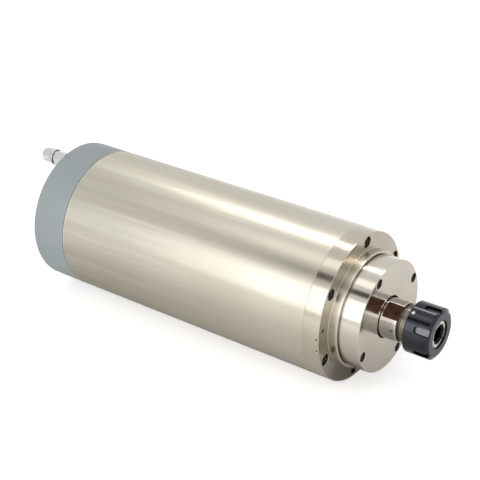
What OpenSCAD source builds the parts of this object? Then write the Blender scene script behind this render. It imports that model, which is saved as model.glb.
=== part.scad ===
// Water-cooled motor spindle, lying along X with its nose towards +X.
// The origin is the centre of the flange's front face. Sizes are in millimetres.

/* [Body] */
// Diameter of the tube, the front flange and the rear cap
body_d = 125; // [122:0.5:132]
// Length of the outer tube between flange and rear cap
tube_len = 250; // [246:1:300]
// Wall of the outer tube
tube_wall = 2.5; // [2:0.1:3]
// Wall of the water jacket, between the tube and the stator
jacket_wall = 12.4; // [11:0.1:14]
// Bevel on the outer edges of flange and tube
edge_bevel = 0.8; // [0.4:0.1:1.2]

/* [Front housing] */
// Thickness of the front flange
flange_t = 15; // [13:0.5:20]
// Width of the flange's open face, from the rim to the pilot step
flange_face_w = 13.5; // [12.5:0.1:14.5]
// Height of the pilot step
pilot_len = 8; // [6:0.5:10]
// Bevel on the front edge of the pilot step
pilot_bevel = 1.2; // [0.6:0.1:1.8]
// Wall behind the front bearings
seat_wall = 8; // [5:0.5:10]
// Distance from the rim to the flange screws
flange_screw_inset = 6.5; // [6:0.1:6.8]
// Direction of the first flange screw, in degrees
flange_screw_turn = 24.6; // [0:0.1:60]

/* [Front cover] */
// Width of the pilot step's face that shows round the cover
cover_step = 2.5; // [1.5:0.1:4]
// Height of the front cover
cover_len = 17.5; // [16.5:0.5:22]
// Distance from the cover's rim to its screws
cover_screw_inset = 4.9; // [4.6:0.1:5.4]
// Direction of the first cover screw, in degrees
cover_screw_turn = 25.6; // [0:0.1:90]
// Radial gap between the shaft nose and the cover's bore
nose_gap = 1.1; // [0.5:0.1:1.5]
// Depth of the cover's spigot in the housing
spigot_len = 4; // [3:0.5:5]

/* [Shaft nose] */
// Diameter of the shaft nose
nose_d = 33; // [32:0.5:34]
// Width across the two wrench flats
flats_w = 30; // [29:0.5:31]
// Length of the wrench flats
flats_len = 13.3; // [11:0.1:15]
// Direction that the first flat faces, in degrees
flats_turn = 126.3; // [0:0.1:180]
// Diameter of the nose thread
thread_d = 32; // [31:0.5:32]
// Length of the nose thread
thread_len = 18.1; // [17:0.1:20]
// Width of the run-out groove behind the thread
runout_w = 2.1; // [1.5:0.1:3]
// Length of nose thread that shows behind the nut
nut_standoff = 6.1; // [5:0.1:7]

/* [Collet and nut] */
// Diameter of the collet nut
nut_d = 42; // [41:0.5:46]
// Length of the collet nut
nut_len = 22; // [21.5:0.5:24]
// Number of spanner slots in the nut
nut_slots = 6; // [4:1:8]
// Width of a spanner slot
slot_w = 6; // [5:0.5:7]
// Length of a spanner slot
slot_len = 13.5; // [10:0.5:15]
// Depth of a spanner slot
slot_depth = 2.2; // [1.5:0.1:2.6]
// Length of the collet
collet_len = 34; // [32:0.5:36]
// Bore of the collet, for the tool's shank
collet_bore = 12.7; // [6:0.1:13]
// Largest diameter of the collet
collet_d = 26; // [25.5:0.1:26.2]
// Width of the collet's slits
slit_w = 0.8; // [0.5:0.1:1]

/* [Rear cap] */
// Length of the rear cap
cap_len = 35; // [34:0.5:45]
// Side wall of the rear cap
cap_wall = 6; // [5:0.5:6.5]
// Rear wall of the rear cap
cap_end_wall = 8; // [6:0.5:9]
// Rounding of the cap's rear edge
cap_round = 1.5; // [0.5:0.1:2]
// Distance from the body's surface in to the axis of a water port
port_inset = 11.2; // [10.7:0.1:11.5]
// Direction of the inlet port, in degrees
port_turn = 101; // [95:1:110]
// Distance from the body's surface in to the axis of the power connector
connector_inset = 21.3; // [19.5:0.1:21.5]

/* [Hose fittings] */
// Outer diameter of the hose that the fittings take
hose_d = 8; // [6:0.1:8.2]
// Width across the flats of the fitting's hexagon
fit_hex_w = 12.5; // [12:0.1:14]
// Length of the fitting's hexagon
fit_hex_len = 11.4; // [8:0.1:14]
// Diameter of the fitting's thread
fit_thread_d = 11; // [10.8:0.1:11.4]
// Length of the fitting's thread
fit_thread_len = 6.2; // [5.6:0.1:8]
// Length of the hose nut
hose_nut_len = 14.1; // [13:0.1:18]
// Outer diameter of the hose nut
hose_nut_d = 12.8; // [12.4:0.1:14]
// Thickness of the sealing washer under the fitting
fit_seal_t = 3; // [1:0.1:3.5]
// Height of the flat pad that a fitting stands on
pad_h = 2.2; // [1:0.1:3]

/* [Power connector] */
// Outer diameter of the connector's barrel
barrel_d = 19.2; // [18.6:0.1:20]
// Height of the connector above the cap
connector_out = 13; // [10:0.5:18]
// Diameter of the connector's flange
shell_flange_d = 24; // [23:0.5:27]
// Diameter of a contact pin
pin_d = 2; // [1.5:0.1:2.5]

/* [Bearings] */
// Bore of the front bearings
front_bore = 35; // [34.5:0.5:36]
// Outer diameter of the front bearings
front_od = 62; // [61:0.5:63]
// Width of one front bearing
front_w = 14; // [13:0.5:15]
// Bore of the rear bearings
rear_bore = 25; // [24.5:0.5:26]
// Outer diameter of the rear bearings
rear_od = 47; // [46:0.5:48]
// Width of one rear bearing
rear_w = 12; // [11:0.5:12.5]

/* [Motor] */
// Free room between the front housing and the windings
end_room = 14; // [8:0.5:30]
// Solid ring of the stator core outside its slots
yoke_w = 3.5; // [3:0.1:5]
// Bore of the stator core
stator_bore = 58.8; // [57:0.2:60]
// Air gap between rotor and stator
air_gap = 0.4; // [0.3:0.05:0.6]
// Length of the winding's end turns
end_turn_len = 24; // [18:0.5:24.5]
// Diameter of the shaft under the rotor
rotor_seat_d = 38; // [36:0.5:40]

/* [Hidden] */
$fn = 96;

// Clearances
slip_gap = 0.05;
press_gap = 0.02;
thread_gap = 0.04;
run_gap = 0.05;
cut = 1;

// Colours
steel_ground = [0.78, 0.75, 0.70];
steel_bright = [0.80, 0.80, 0.79];
steel_black = [0.17, 0.17, 0.20];
cap_grey = [0.60, 0.63, 0.65];
copper = [0.72, 0.42, 0.25];
lamination = [0.36, 0.36, 0.38];
alloy = [0.72, 0.73, 0.75];
seal_black = [0.06, 0.06, 0.06];
resin = [0.62, 0.45, 0.24];
brass_col = [0.76, 0.63, 0.35];
nickel = [0.80, 0.82, 0.81];

// Radii of the body, from the outside in
body_r = body_d / 2;
tube_ri = body_r - tube_wall;
jacket_ro = tube_ri - slip_gap;
jacket_ri = jacket_ro - jacket_wall;
stator_r = jacket_ri - press_gap;
pilot_r = body_r - flange_face_w;
cover_r = pilot_r - cover_step;
port_r = body_r - port_inset;
connector_r = body_r - connector_inset;
nose_r = nose_d / 2;
thread_r = thread_d / 2;

// Bearings: pitch circle, ball, and the lands of the rings beside the ball track
front_ball_share = 0.294;
rear_ball_share = 0.289;
ball_spacing = 1.19;
land_share = 0.68;
cage_in_share = 0.40;
cage_out_share = 0.45;
front_pitch_r = (front_bore + front_od) / 4;
front_ball_r = front_ball_share * (front_od - front_bore) / 2;
front_land = land_share * front_ball_r;
front_balls = floor(PI * front_pitch_r / (front_ball_r * ball_spacing));
rear_pitch_r = (rear_bore + rear_od) / 4;
rear_ball_r = rear_ball_share * (rear_od - rear_bore) / 2;
rear_land = land_share * rear_ball_r;
rear_balls = floor(PI * rear_pitch_r / (rear_ball_r * ball_spacing));

// What holds the bearings' rings, from the bearings' own sizes
shoulder_step = 0.6;
seat_side_wall = 8.5;
front_lip = 5;
front_boss_r = front_od / 2 + seat_side_wall;
front_lip_r = front_od / 2 - front_lip;
front_nut_r = front_pitch_r + 1.25;
sleeve_wall = 4.5;
hub_wall = 6;
sleeve_r = rear_od / 2 + sleeve_wall;
hub_r = sleeve_r + hub_wall;
hub_lip_r = rear_pitch_r;
retainer_ri = rear_pitch_r + 1.5;
rear_nut_r = rear_pitch_r - 1;

// Stations along X, at the front
cover_front = pilot_len + cover_len;
fb_front = pilot_len - spigot_len;
fb_rear = fb_front - 2 * front_w;
housing_rear = fb_rear - seat_wall;
front_nut_len = 10;
front_nut_front = fb_front + front_nut_len;
flats_rear = cover_front + 1.5;
flats_front = flats_rear + flats_len;
thread_rear = flats_front + runout_w;
shaft_front = thread_rear + thread_len;
nut_rear = thread_rear + nut_standoff;
nut_front = nut_rear + nut_len;
collet_front = nut_front - 1.2;
collet_rear = collet_front - collet_len;

// Stations along X, at the rear
tube_front = -flange_t;
tube_rear = tube_front - tube_len;
cap_rear = tube_rear - cap_len;
cap_inner = cap_rear + cap_end_wall;
rear_plate_t = 13;
rear_plate_front = tube_rear + rear_plate_t;
retainer_t = 3;
hub_rear = tube_rear - 16;
rb_rear = hub_rear + 4;
rb_front = rb_rear + 2 * rear_w;
sleeve_lip = 2;
sleeve_front = rb_front + sleeve_lip;
sleeve_rear = hub_rear + 2;
spring_stack = 3;
hub_seat = sleeve_front + spring_stack;
hub_front = hub_seat + 4;
rear_nut_len = 7;
shaft_rear = rb_rear - rear_nut_len - 2;

// Motor stations
hub_room = 5;
stator_rear = hub_front + hub_room + end_turn_len;
stator_front = housing_rear - end_room - end_turn_len;
stator_len = stator_front - stator_rear;
rotor_r = stator_bore / 2 - air_gap;
rotor_seat_r = rotor_seat_d / 2;
end_ring_len = 10;
balance_len = 6;
bar_count = 28;
bar_r = 1.8;
bar_inset = 3.6;
slot_count = 24;
slot_in_r = stator_bore / 2 + 1.6;
slot_root_r = 3;
slot_tip_r = 1.8;
slot_out_r = stator_r - yoke_w - slot_root_r;
slot_liner = 0.25;

// Screws: radius of shank, radius and height of head, hexagon socket across flats
m3 = [1.5, 2.75, 3, 2.5];
m4 = [2, 3.5, 4, 3];
m5 = [2.5, 4.25, 5, 4];
head_room = 0.5;
flange_pcr = body_r - flange_screw_inset;
cover_pcr = cover_r - cover_screw_inset;
flange_head_sink = 2;
cover_head_sink = 2;
rear_head_sink = 0.5;
cap_head_sink = 1.5;
screw_grip = 8.5;
tap_room = 3.5;
tap_depth = screw_grip + tap_room;
flange_screw_len = flange_t - flange_head_sink - m5[2] + screw_grip;
cover_screw_len = cover_len - cover_head_sink - m4[2] + screw_grip;
rear_screw_len = rear_plate_t - rear_head_sink - m5[2] + screw_grip;
cap_screw_len = cap_len - cap_head_sink - m4[2] + screw_grip;
rear_screw_r = body_r - 8;
cap_screw_r = body_r - 10.5;
retainer_screw_r = sleeve_r + hub_wall / 2;
retainer_screw_grip = 7;
jack_hole_r = 1.65;

// Seal in the cover's spigot
cover_seal_section = 1.6;
cover_groove_w = 2;
cover_groove_r = front_od / 2 - cover_seal_section - 0.2;
cover_seal_x = pilot_len - spigot_len / 2;

// Water channels of the jacket
channel_count = 10;
channel_depth = 5;
rib_w = 5;
seal_section = 2.3;
seal_groove_w = 3;
front_seal_x = tube_front - 19.5;
rear_seal_x = rear_plate_front + 15.5;
channel_front = front_seal_x - 5;
channel_rear = rear_seal_x + 5;
channel_w = (channel_front - channel_rear - (channel_count - 1) * rib_w) / channel_count;
port_hole_r = 2.2;
port_boss_r = 6.5;
port_seal_section = 1.25;
port_seal_r = 3.8;
port_seal_pocket_r = 4.6;
port_seal_pocket = 1.3;

// Hose fittings, measured from the cap's rear face
hose_r = hose_d / 2 + slip_gap;
ferrule_bore_r = hose_r + 0.2;
nut_bore_r = hose_r + 0.35;
pad_r = fit_hex_w / 2 + 2.25;
fit_hex_start = pad_h + fit_seal_t;
fit_hex_end = fit_hex_start + fit_hex_len;
fit_thread_r = fit_thread_d / 2;
fit_thread_end = fit_hex_end + fit_thread_len;
fit_shank_r = 4.85;
fit_shank_len = 8.5;
fit_seal_r = fit_hex_w / 2 + 0.05;
hose_socket_len = 12;
hose_nut_start = fit_hex_end + 1;
hose_nut_end = hose_nut_start + hose_nut_len;
hose_nut_r = hose_nut_d / 2;
hose_flange_r = hose_nut_r + 0.8;
hose_nose_len = 4;
hose_nose_drop = 2.3;
ferrule_start = fit_thread_end + 0.2;
ferrule_len = 3;
ferrule_end = ferrule_start + ferrule_len;

// Power connector, measured from the cap's rear face
connector_turn = port_turn - 90;
barrel_r = barrel_d / 2;
barrel_wall = 1.6;
shell_bore_r = barrel_r - barrel_wall;
shell_stop_r = shell_bore_r - 1;
shell_thread_r = barrel_r - 0.6;
shell_flange_r = shell_flange_d / 2;
connector_hole_r = shell_thread_r + 0.1;
panel_nut_len = 3;
panel_nut_w = 2 * connector_hole_r + 4.8;
shell_tail = cap_end_wall + panel_nut_len + 1;
insulator_tail = shell_tail + 1;
pin_tail = insulator_tail + 4;
pin_circle_r = 4.2;
pin_r = pin_d / 2;
wire_r = 1.5;
wire_hole_r = pin_circle_r + wire_r + 0.9;

module lathe(points)
    rotate([0, 90, 0])
        rotate_extrude()
            polygon([for (p = points) [p[1], p[0]]]);

module rod(x0, x1, r)
    translate([min(x0, x1), 0, 0])
        rotate([0, 90, 0])
            cylinder(h = abs(x1 - x0), r = r);

module cone(x0, x1, r0, r1)
    translate([x0, 0, 0])
        rotate([0, 90, 0])
            cylinder(h = x1 - x0, r1 = r0, r2 = r1);

module ring(x0, x1, ro, ri)
    difference() {
        rod(x0, x1, ro);
        rod(min(x0, x1) - cut, max(x0, x1) + cut, ri);
    }

module o_ring(x, r, section)
    translate([x, 0, 0])
        rotate([0, 90, 0])
            rotate_extrude()
                translate([r, 0])
                    circle(r = section / 2, $fn = 32);

module hex_rod(x0, x1, w)
    translate([x0, 0, 0])
        rotate([0, 90, 0])
            cylinder(h = x1 - x0, r = w / sqrt(3), $fn = 6);

module around(count, turn, r)
    for (i = [0 : count - 1])
        rotate([turn + i * 360 / count, 0, 0])
            translate([0, r, 0])
                children();

// A socket head screw whose head's top is at x, with its shank towards -X
module socket_screw(x, size, len)
    difference() {
        union() {
            rod(x - size[2] - len, x - size[2], size[0]);
            lathe([
                [x - size[2], 0], [x - size[2], size[1]], [x - 0.4, size[1]],
                [x, size[1] - 0.4], [x, 0]
            ]);
        }
        hex_rod(x - size[2] / 2, x + cut, size[3]);
    }

module screw_pocket(x, size, sink)
    rod(x - sink - size[2], x + cut, size[1] + head_room);

module screw_hole(x0, x1, size)
    rod(x0, x1, size[0] + 0.25);

module tapped_hole(x0, x1, size)
    rod(x0, x1, size[0] + thread_gap);

module outer_tube()
    color(steel_ground)
        lathe([
            [tube_rear, tube_ri], [tube_rear, body_r - 0.3], [tube_rear + 0.3, body_r],
            [tube_front - 0.2, body_r], [tube_front, body_r - 0.2], [tube_front, tube_ri]
        ]);

module water_path(angle, x_end)
    rotate([angle, 0, 0])
        translate([0, port_r, 0]) {
            rod(rear_plate_front - cut, x_end + port_hole_r, port_hole_r);
            translate([x_end, 0, 0])
                rotate([-90, 0, 0])
                    cylinder(h = jacket_ro - port_r, r = port_hole_r);
        }

module water_jacket()
    color(alloy)
        difference() {
            ring(rear_plate_front, tube_front, jacket_ro, jacket_ri);
            for (i = [0 : channel_count - 1]) {
                x = channel_front - i * (channel_w + rib_w);
                ring(x - channel_w, x, jacket_ro + cut, jacket_ro - channel_depth);
            }
            for (i = [0 : channel_count - 2]) {
                x = channel_front - i * (channel_w + rib_w) - channel_w;
                rotate([port_turn + (i % 2 == 0 ? 180 : 0), 0, 0])
                    translate([x - rib_w - 0.5, jacket_ro - channel_depth, -6])
                        cube([rib_w + 1, channel_depth + cut, 12]);
            }
            for (x = [front_seal_x, rear_seal_x])
                ring(x - seal_groove_w / 2, x + seal_groove_w / 2, jacket_ro + cut, jacket_ro - seal_section);
            around(6, flange_screw_turn, flange_pcr)
                tapped_hole(tube_front - tap_depth, tube_front + cut, m5);
            around(6, connector_turn, rear_screw_r)
                tapped_hole(rear_plate_front - cut, rear_plate_front + tap_depth, m5);
            water_path(port_turn, channel_front - channel_w / 2);
            water_path(port_turn + 180, channel_rear + channel_w / 2);
        }

module jacket_seals()
    color(seal_black)
        for (x = [front_seal_x, rear_seal_x])
            o_ring(x, jacket_ro - seal_section / 2 + slip_gap / 2, seal_section - slip_gap);

module front_housing()
    color(steel_ground)
        difference() {
            lathe([
                [housing_rear, front_lip_r], [housing_rear, front_boss_r], [fb_rear, front_boss_r],
                [fb_rear, jacket_ri - slip_gap], [tube_front, jacket_ri - slip_gap],
                [tube_front, body_r - 0.2], [tube_front + 0.2, body_r],
                [-edge_bevel, body_r], [0, body_r - edge_bevel],
                [0, pilot_r], [pilot_len - pilot_bevel, pilot_r], [pilot_len, pilot_r - pilot_bevel],
                [pilot_len, front_od / 2 + press_gap], [fb_rear, front_od / 2 + press_gap],
                [fb_rear, front_lip_r]
            ]);
            around(6, flange_screw_turn, flange_pcr) {
                screw_hole(tube_front - cut, cut, m5);
                screw_pocket(0, m5, flange_head_sink);
            }
            around(4, cover_screw_turn, cover_pcr)
                tapped_hole(pilot_len - tap_depth, pilot_len + cut, m4);
            around(2, flange_screw_turn + 150, flange_pcr)
                rod(tube_front - cut, cut, jack_hole_r);
            for (a = [180, 190])
                rotate([a, 0, 0])
                    translate([-2, body_r - 4, 0])
                        rotate([-90, 0, 0])
                            cylinder(h = 5, r = 0.8);
        }

module flange_screws()
    color(steel_black)
        around(6, flange_screw_turn, flange_pcr)
            socket_screw(-flange_head_sink, m5, flange_screw_len);

module front_cover()
    color(steel_ground)
        difference() {
            lathe([
                [fb_front, front_nut_r + 1], [fb_front, front_od / 2 - slip_gap],
                [cover_seal_x - cover_groove_w / 2, front_od / 2 - slip_gap],
                [cover_seal_x - cover_groove_w / 2, cover_groove_r],
                [cover_seal_x + cover_groove_w / 2, cover_groove_r],
                [cover_seal_x + cover_groove_w / 2, front_od / 2 - slip_gap],
                [pilot_len, front_od / 2 - slip_gap], [pilot_len, cover_r - 1.3],
                [pilot_len + 1.2, cover_r - 1.3], [pilot_len + 1.2, cover_r],
                [cover_front - edge_bevel, cover_r], [cover_front, cover_r - edge_bevel],
                [cover_front, nose_r + nose_gap],
                [cover_front - 3, nose_r + nose_gap], [cover_front - 3, nose_r + nose_gap + 1.5],
                [cover_front - 4.5, nose_r + nose_gap + 1.5], [cover_front - 4.5, nose_r + nose_gap],
                [front_nut_front + 1, nose_r + nose_gap], [front_nut_front + 1, front_nut_r + 1]
            ]);
            around(4, cover_screw_turn, cover_pcr) {
                screw_hole(pilot_len - cut, cover_front + cut, m4);
                screw_pocket(cover_front, m4, cover_head_sink);
            }
        }

module cover_screws()
    color(steel_black)
        around(4, cover_screw_turn, cover_pcr)
            socket_screw(cover_front - cover_head_sink, m4, cover_screw_len);

module front_cover_seal()
    color(seal_black)
        o_ring(cover_seal_x, front_od / 2 - cover_seal_section / 2 - slip_gap, cover_seal_section);

// Bearing races: one lathe profile less the ball track
module outer_race(x0, w, ro, land_r, pitch_r, ball_r)
    rotate([0, 90, 0])
        rotate_extrude()
            difference() {
                translate([land_r, x0])
                    square([ro - land_r, w - press_gap]);
                translate([pitch_r, x0 + w / 2])
                    circle(r = ball_r * 1.02, $fn = 48);
                translate([land_r - cut, x0 - cut])
                    square([cut + ball_r * 0.22, w * 0.35 + cut]);
            }

module inner_race(x0, w, ri, land_r, pitch_r, ball_r)
    rotate([0, 90, 0])
        rotate_extrude()
            difference() {
                translate([ri, x0])
                    square([land_r - ri, w - press_gap]);
                translate([pitch_r, x0 + w / 2])
                    circle(r = ball_r * 1.02, $fn = 48);
            }

module ball_row(x0, w, pitch_r, ball_r, count)
    around(count, 0, pitch_r)
        translate([x0 + w / 2, 0, 0])
            sphere(r = ball_r, $fn = 32);

module cage(x0, w, pitch_r, ball_r, count)
    difference() {
        ring(x0 + w * 0.08, x0 + w * 0.92,
            pitch_r + cage_out_share * ball_r, pitch_r - cage_in_share * ball_r);
        around(count, 0, pitch_r)
            translate([x0 + w / 2, -ball_r * 2, 0])
                rotate([-90, 0, 0])
                    cylinder(h = ball_r * 4, r = ball_r + 0.15);
    }

module front_bearing_outer_rings()
    color(steel_bright)
        for (x = [fb_rear, fb_rear + front_w])
            outer_race(x, front_w, front_od / 2, front_pitch_r + front_land, front_pitch_r, front_ball_r);

module front_bearing_inner_rings()
    color(steel_bright)
        for (x = [fb_rear, fb_rear + front_w])
            inner_race(x, front_w, front_bore / 2, front_pitch_r - front_land, front_pitch_r,
                front_ball_r);

module front_bearing_balls()
    color(steel_bright)
        for (x = [fb_rear, fb_rear + front_w])
            ball_row(x, front_w, front_pitch_r, front_ball_r, front_balls);

module front_bearing_cages()
    color(resin)
        for (x = [fb_rear, fb_rear + front_w])
            cage(x, front_w, front_pitch_r, front_ball_r, front_balls);

module rear_bearing_outer_rings()
    color(steel_bright)
        for (x = [rb_rear, rb_rear + rear_w])
            outer_race(x, rear_w, rear_od / 2, rear_pitch_r + rear_land, rear_pitch_r, rear_ball_r);

module rear_bearing_inner_rings()
    color(steel_bright)
        for (x = [rb_rear, rb_rear + rear_w])
            inner_race(x, rear_w, rear_bore / 2, rear_pitch_r - rear_land, rear_pitch_r, rear_ball_r);

module rear_bearing_balls()
    color(steel_bright)
        for (x = [rb_rear, rb_rear + rear_w])
            ball_row(x, rear_w, rear_pitch_r, rear_ball_r, rear_balls);

module rear_bearing_cages()
    color(resin)
        for (x = [rb_rear, rb_rear + rear_w])
            cage(x, rear_w, rear_pitch_r, rear_ball_r, rear_balls);

module front_locknut()
    color(steel_bright)
        difference() {
            ring(fb_front, front_nut_front, front_nut_r, front_bore / 2 + press_gap);
            ring(fb_front - cut, fb_front + 1.5, front_nut_r + cut, front_pitch_r - front_land);
            for (x = [fb_front + 4, fb_front + 7])
                ring(x, x + 1.2, front_nut_r + cut, front_nut_r - 1.2);
            around(4, 45, front_nut_r - 3)
                rod(front_nut_front - 4, front_nut_front + cut, 1.6);
        }

// The collet's taper has a half angle of 8 degrees, its front cone 30 degrees
collet_r = collet_d / 2;
collet_face_r = collet_r - 3.8 * tan(30);
taper_front = collet_front - 8;
taper_front_r = collet_r - 0.25;
collet_rear_r = taper_front_r - (taper_front - collet_rear) * tan(8);

module shaft()
    color(steel_bright)
        difference() {
            lathe([
                [shaft_rear, 0], [shaft_rear, rear_bore / 2 - 1.5], [shaft_rear + 1, rear_bore / 2 - press_gap],
                [rb_front, rear_bore / 2 - press_gap], [rb_front, rear_pitch_r - rear_land - shoulder_step],
                [hub_front + 3, rear_pitch_r - rear_land - shoulder_step],
                [hub_front + 3, rotor_seat_r],
                [fb_rear - 16, rotor_seat_r], [fb_rear - 16, front_pitch_r - front_land - shoulder_step],
                [fb_rear, front_pitch_r - front_land - shoulder_step], [fb_rear, front_bore / 2 - press_gap],
                [front_nut_front, front_bore / 2 - press_gap], [front_nut_front, nose_r],
                [flats_front - 0.3, nose_r], [flats_front, nose_r - 0.3], [flats_front, thread_r - 1.2],
                [thread_rear, thread_r - 1.2], [thread_rear + 0.6, thread_r],
                [shaft_front - 1, thread_r], [shaft_front, thread_r - 1], [shaft_front, 0]
            ]);
            for (a = [0, 180])
                rotate([flats_turn + a, 0, 0])
                    translate([flats_rear, flats_w / 2, -nose_r])
                        cube([flats_len + cut, nose_r, 2 * nose_r]);
            cone(collet_rear, shaft_front + cut,
                collet_rear_r + run_gap,
                collet_rear_r + run_gap + (shaft_front + cut - collet_rear) * tan(8));
            rod(collet_rear - 30, collet_rear + cut, collet_rear_r + run_gap - 0.2);
        }

module rotor_core()
    color(lamination)
        difference() {
            ring(stator_rear, stator_front, rotor_r, rotor_seat_r + press_gap);
            around(bar_count, 0, rotor_r - bar_inset)
                rod(stator_rear - cut, stator_front + cut, bar_r + press_gap);
        }

module rotor_cage()
    color(copper) {
        ring(stator_front, stator_front + end_ring_len, rotor_r - 0.5, rotor_r - 7);
        ring(stator_rear - end_ring_len, stator_rear, rotor_r - 0.5, rotor_r - 7);
        around(bar_count, 0, rotor_r - bar_inset)
            rod(stator_rear - 1, stator_front + 1, bar_r);
    }

module rotor_balance_rings()
    color(brass_col)
        for (x = [stator_front + end_ring_len, stator_rear - end_ring_len - balance_len])
            difference() {
                ring(x, x + balance_len, rotor_r - 1.5, rotor_seat_r + press_gap);
                for (a = [20, 140, 275])
                    rotate([a, 0, 0])
                        translate([x + balance_len / 2, rotor_r - 5, 0])
                            rotate([-90, 0, 0])
                                cylinder(h = 6, r = 1.5);
            }

module slot_shape(extra)
    for (i = [0 : slot_count - 1])
        rotate(i * 360 / slot_count) {
            polygon([
                [slot_in_r - extra, -slot_tip_r - extra], [slot_out_r, -slot_root_r - extra],
                [slot_out_r, slot_root_r + extra], [slot_in_r - extra, slot_tip_r + extra]
            ]);
            translate([slot_out_r, 0])
                circle(r = slot_root_r + extra, $fn = 24);
        }

module stator_core()
    color(lamination)
        translate([stator_rear, 0, 0])
            rotate([0, 90, 0])
                linear_extrude(height = stator_len)
                    difference() {
                        circle(r = stator_r);
                        circle(r = stator_bore / 2);
                        slot_shape(slot_liner);
                        for (i = [0 : slot_count - 1])
                            rotate(i * 360 / slot_count)
                                translate([stator_bore / 2 - 1, -1.1])
                                    square([4, 2.2]);
                    }

module end_turns(x0, x1)
    lathe([
        [x0, stator_bore / 2 + 2], [x0, stator_r - 4], [x0 + (x1 - x0) * 0.3, stator_r - 1],
        [x1 - 1.5, stator_r - 1], [x1, stator_r - 2],
        [x1, stator_bore / 2 + 4.5], [x0 + (x1 - x0) * 0.8, stator_bore / 2 + 2]
    ]);

module stator_windings()
    color(copper) {
        end_turns(stator_front, stator_front + end_turn_len);
        mirror([1, 0, 0])
            end_turns(-stator_rear, -stator_rear + end_turn_len);
        translate([stator_rear - 1, 0, 0])
            rotate([0, 90, 0])
                linear_extrude(height = stator_len + 2)
                    slot_shape(0);
    }

module rear_housing()
    color(alloy)
        difference() {
            lathe([
                [hub_rear, sleeve_r + slip_gap], [hub_rear, hub_r], [tube_rear, hub_r],
                [tube_rear, jacket_ro], [rear_plate_front, jacket_ro],
                [rear_plate_front, jacket_ri - slip_gap], [rear_plate_front + 4, jacket_ri - slip_gap],
                [rear_plate_front + 4, hub_r], [hub_front, hub_r], [hub_front, hub_lip_r],
                [hub_seat, hub_lip_r], [hub_seat, sleeve_r + slip_gap]
            ]);
            around(6, connector_turn, rear_screw_r) {
                screw_hole(tube_rear - cut, rear_plate_front + cut, m5);
                rod(tube_rear - cut, tube_rear + m5[2] + rear_head_sink, m5[1] + head_room);
            }
            around(4, port_turn + 45, cap_screw_r)
                tapped_hole(tube_rear - cut, tube_rear + screw_grip + 1, m4);
            around(4, port_turn + 45, retainer_screw_r)
                tapped_hole(hub_rear - cut, hub_rear + retainer_screw_grip + 1, m3);
            around(2, port_turn, port_r) {
                rod(tube_rear - cut, rear_plate_front + cut, port_hole_r);
                rod(tube_rear - cut, tube_rear + port_seal_pocket, port_seal_pocket_r);
                rod(rear_plate_front - port_seal_pocket, rear_plate_front + cut, port_seal_pocket_r);
            }
            wire_way(hub_front + cut);
        }

// The way through which the lead wires pass, from the connector's side
module wire_way(x_end)
    rotate([connector_turn, 0, 0])
        translate([0, connector_r, 0])
            rod(hub_rear - retainer_t - cut, x_end, wire_hole_r);

module rear_housing_screws()
    color(steel_black)
        around(6, connector_turn, rear_screw_r)
            mirror([1, 0, 0])
                socket_screw(-tube_rear - rear_head_sink, m5, rear_screw_len);

module port_seals()
    color(seal_black)
        for (x = [tube_rear + port_seal_pocket / 2, rear_plate_front - port_seal_pocket / 2])
            around(2, port_turn, port_r)
                o_ring(x, port_seal_r, port_seal_section);

module rear_bearing_sleeve()
    color(steel_bright)
        lathe([
            [sleeve_rear, rear_od / 2 + press_gap], [sleeve_rear, sleeve_r],
            [sleeve_front, sleeve_r], [sleeve_front, rear_od / 2 - 2],
            [rb_front, rear_od / 2 - 2], [rb_front, rear_od / 2 + press_gap]
        ]);

module disc_spring(x, dir)
    lathe([
        [x, rear_od / 2 - 1.5], [x + dir * 0.7, rear_od / 2 - 1.5],
        [x + dir * spring_stack / 2, rear_od / 2 + 4], [x + dir * (spring_stack / 2 - 0.7), rear_od / 2 + 4]
    ]);

module preload_springs()
    color(steel_bright) {
        disc_spring(sleeve_front, 1);
        disc_spring(hub_seat, -1);
    }

module rear_locknut()
    color(steel_black)
        difference() {
            ring(rb_rear - rear_nut_len, rb_rear, rear_nut_r, rear_bore / 2 + press_gap);
            for (a = [0, 90, 180, 270])
                rotate([a, 0, 0])
                    translate([rb_rear - rear_nut_len - cut, rear_nut_r - 2, -2])
                        cube([rear_nut_len - 2 + cut, 4, 4]);
        }

module rear_retainer()
    color(alloy)
        difference() {
            ring(hub_rear - retainer_t, hub_rear, hub_r, retainer_ri);
            around(4, port_turn + 45, retainer_screw_r)
                screw_hole(hub_rear - retainer_t - cut, hub_rear + cut, m3);
            wire_way(hub_rear + cut);
        }

module retainer_screws()
    color(steel_black)
        around(4, port_turn + 45, retainer_screw_r)
            mirror([1, 0, 0])
                socket_screw(-hub_rear + retainer_t + m3[2], m3, retainer_t + retainer_screw_grip);

module rear_cap()
    color(cap_grey)
        difference() {
            union() {
                lathe([
                    [tube_rear, body_r - cap_wall], [tube_rear, body_r - 0.3], [tube_rear - 0.3, body_r],
                    [cap_rear + cap_round, body_r],
                    for (a = [15 : 15 : 75])
                        [cap_rear + cap_round * (1 - sin(a)), body_r - cap_round * (1 - cos(a))],
                    [cap_rear, body_r - cap_round], [cap_rear, 0], [cap_inner, 0], [cap_inner, body_r - cap_wall]
                ]);
                around(2, port_turn, port_r) {
                    rod(cap_rear - pad_h, cap_rear + cut, pad_r);
                    rod(cap_inner - cut, tube_rear, port_boss_r);
                }
                around(4, port_turn + 45, cap_screw_r)
                    rod(cap_inner - cut, tube_rear, 5);
            }
            around(2, port_turn, port_r) {
                rod(cap_rear - pad_h - cut, cap_rear + fit_shank_len + 1 - pad_h, fit_shank_r + thread_gap);
                rod(cap_rear, tube_rear + cut, port_hole_r);
            }
            around(4, port_turn + 45, cap_screw_r) {
                screw_hole(cap_rear - cut, tube_rear + cut, m4);
                rod(cap_rear - cut, cap_rear + m4[2] + cap_head_sink, m4[1] + head_room);
            }
            rotate([connector_turn, 0, 0])
                translate([0, connector_r, 0])
                    rod(cap_rear - cut, cap_inner + cut, connector_hole_r);
        }

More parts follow.
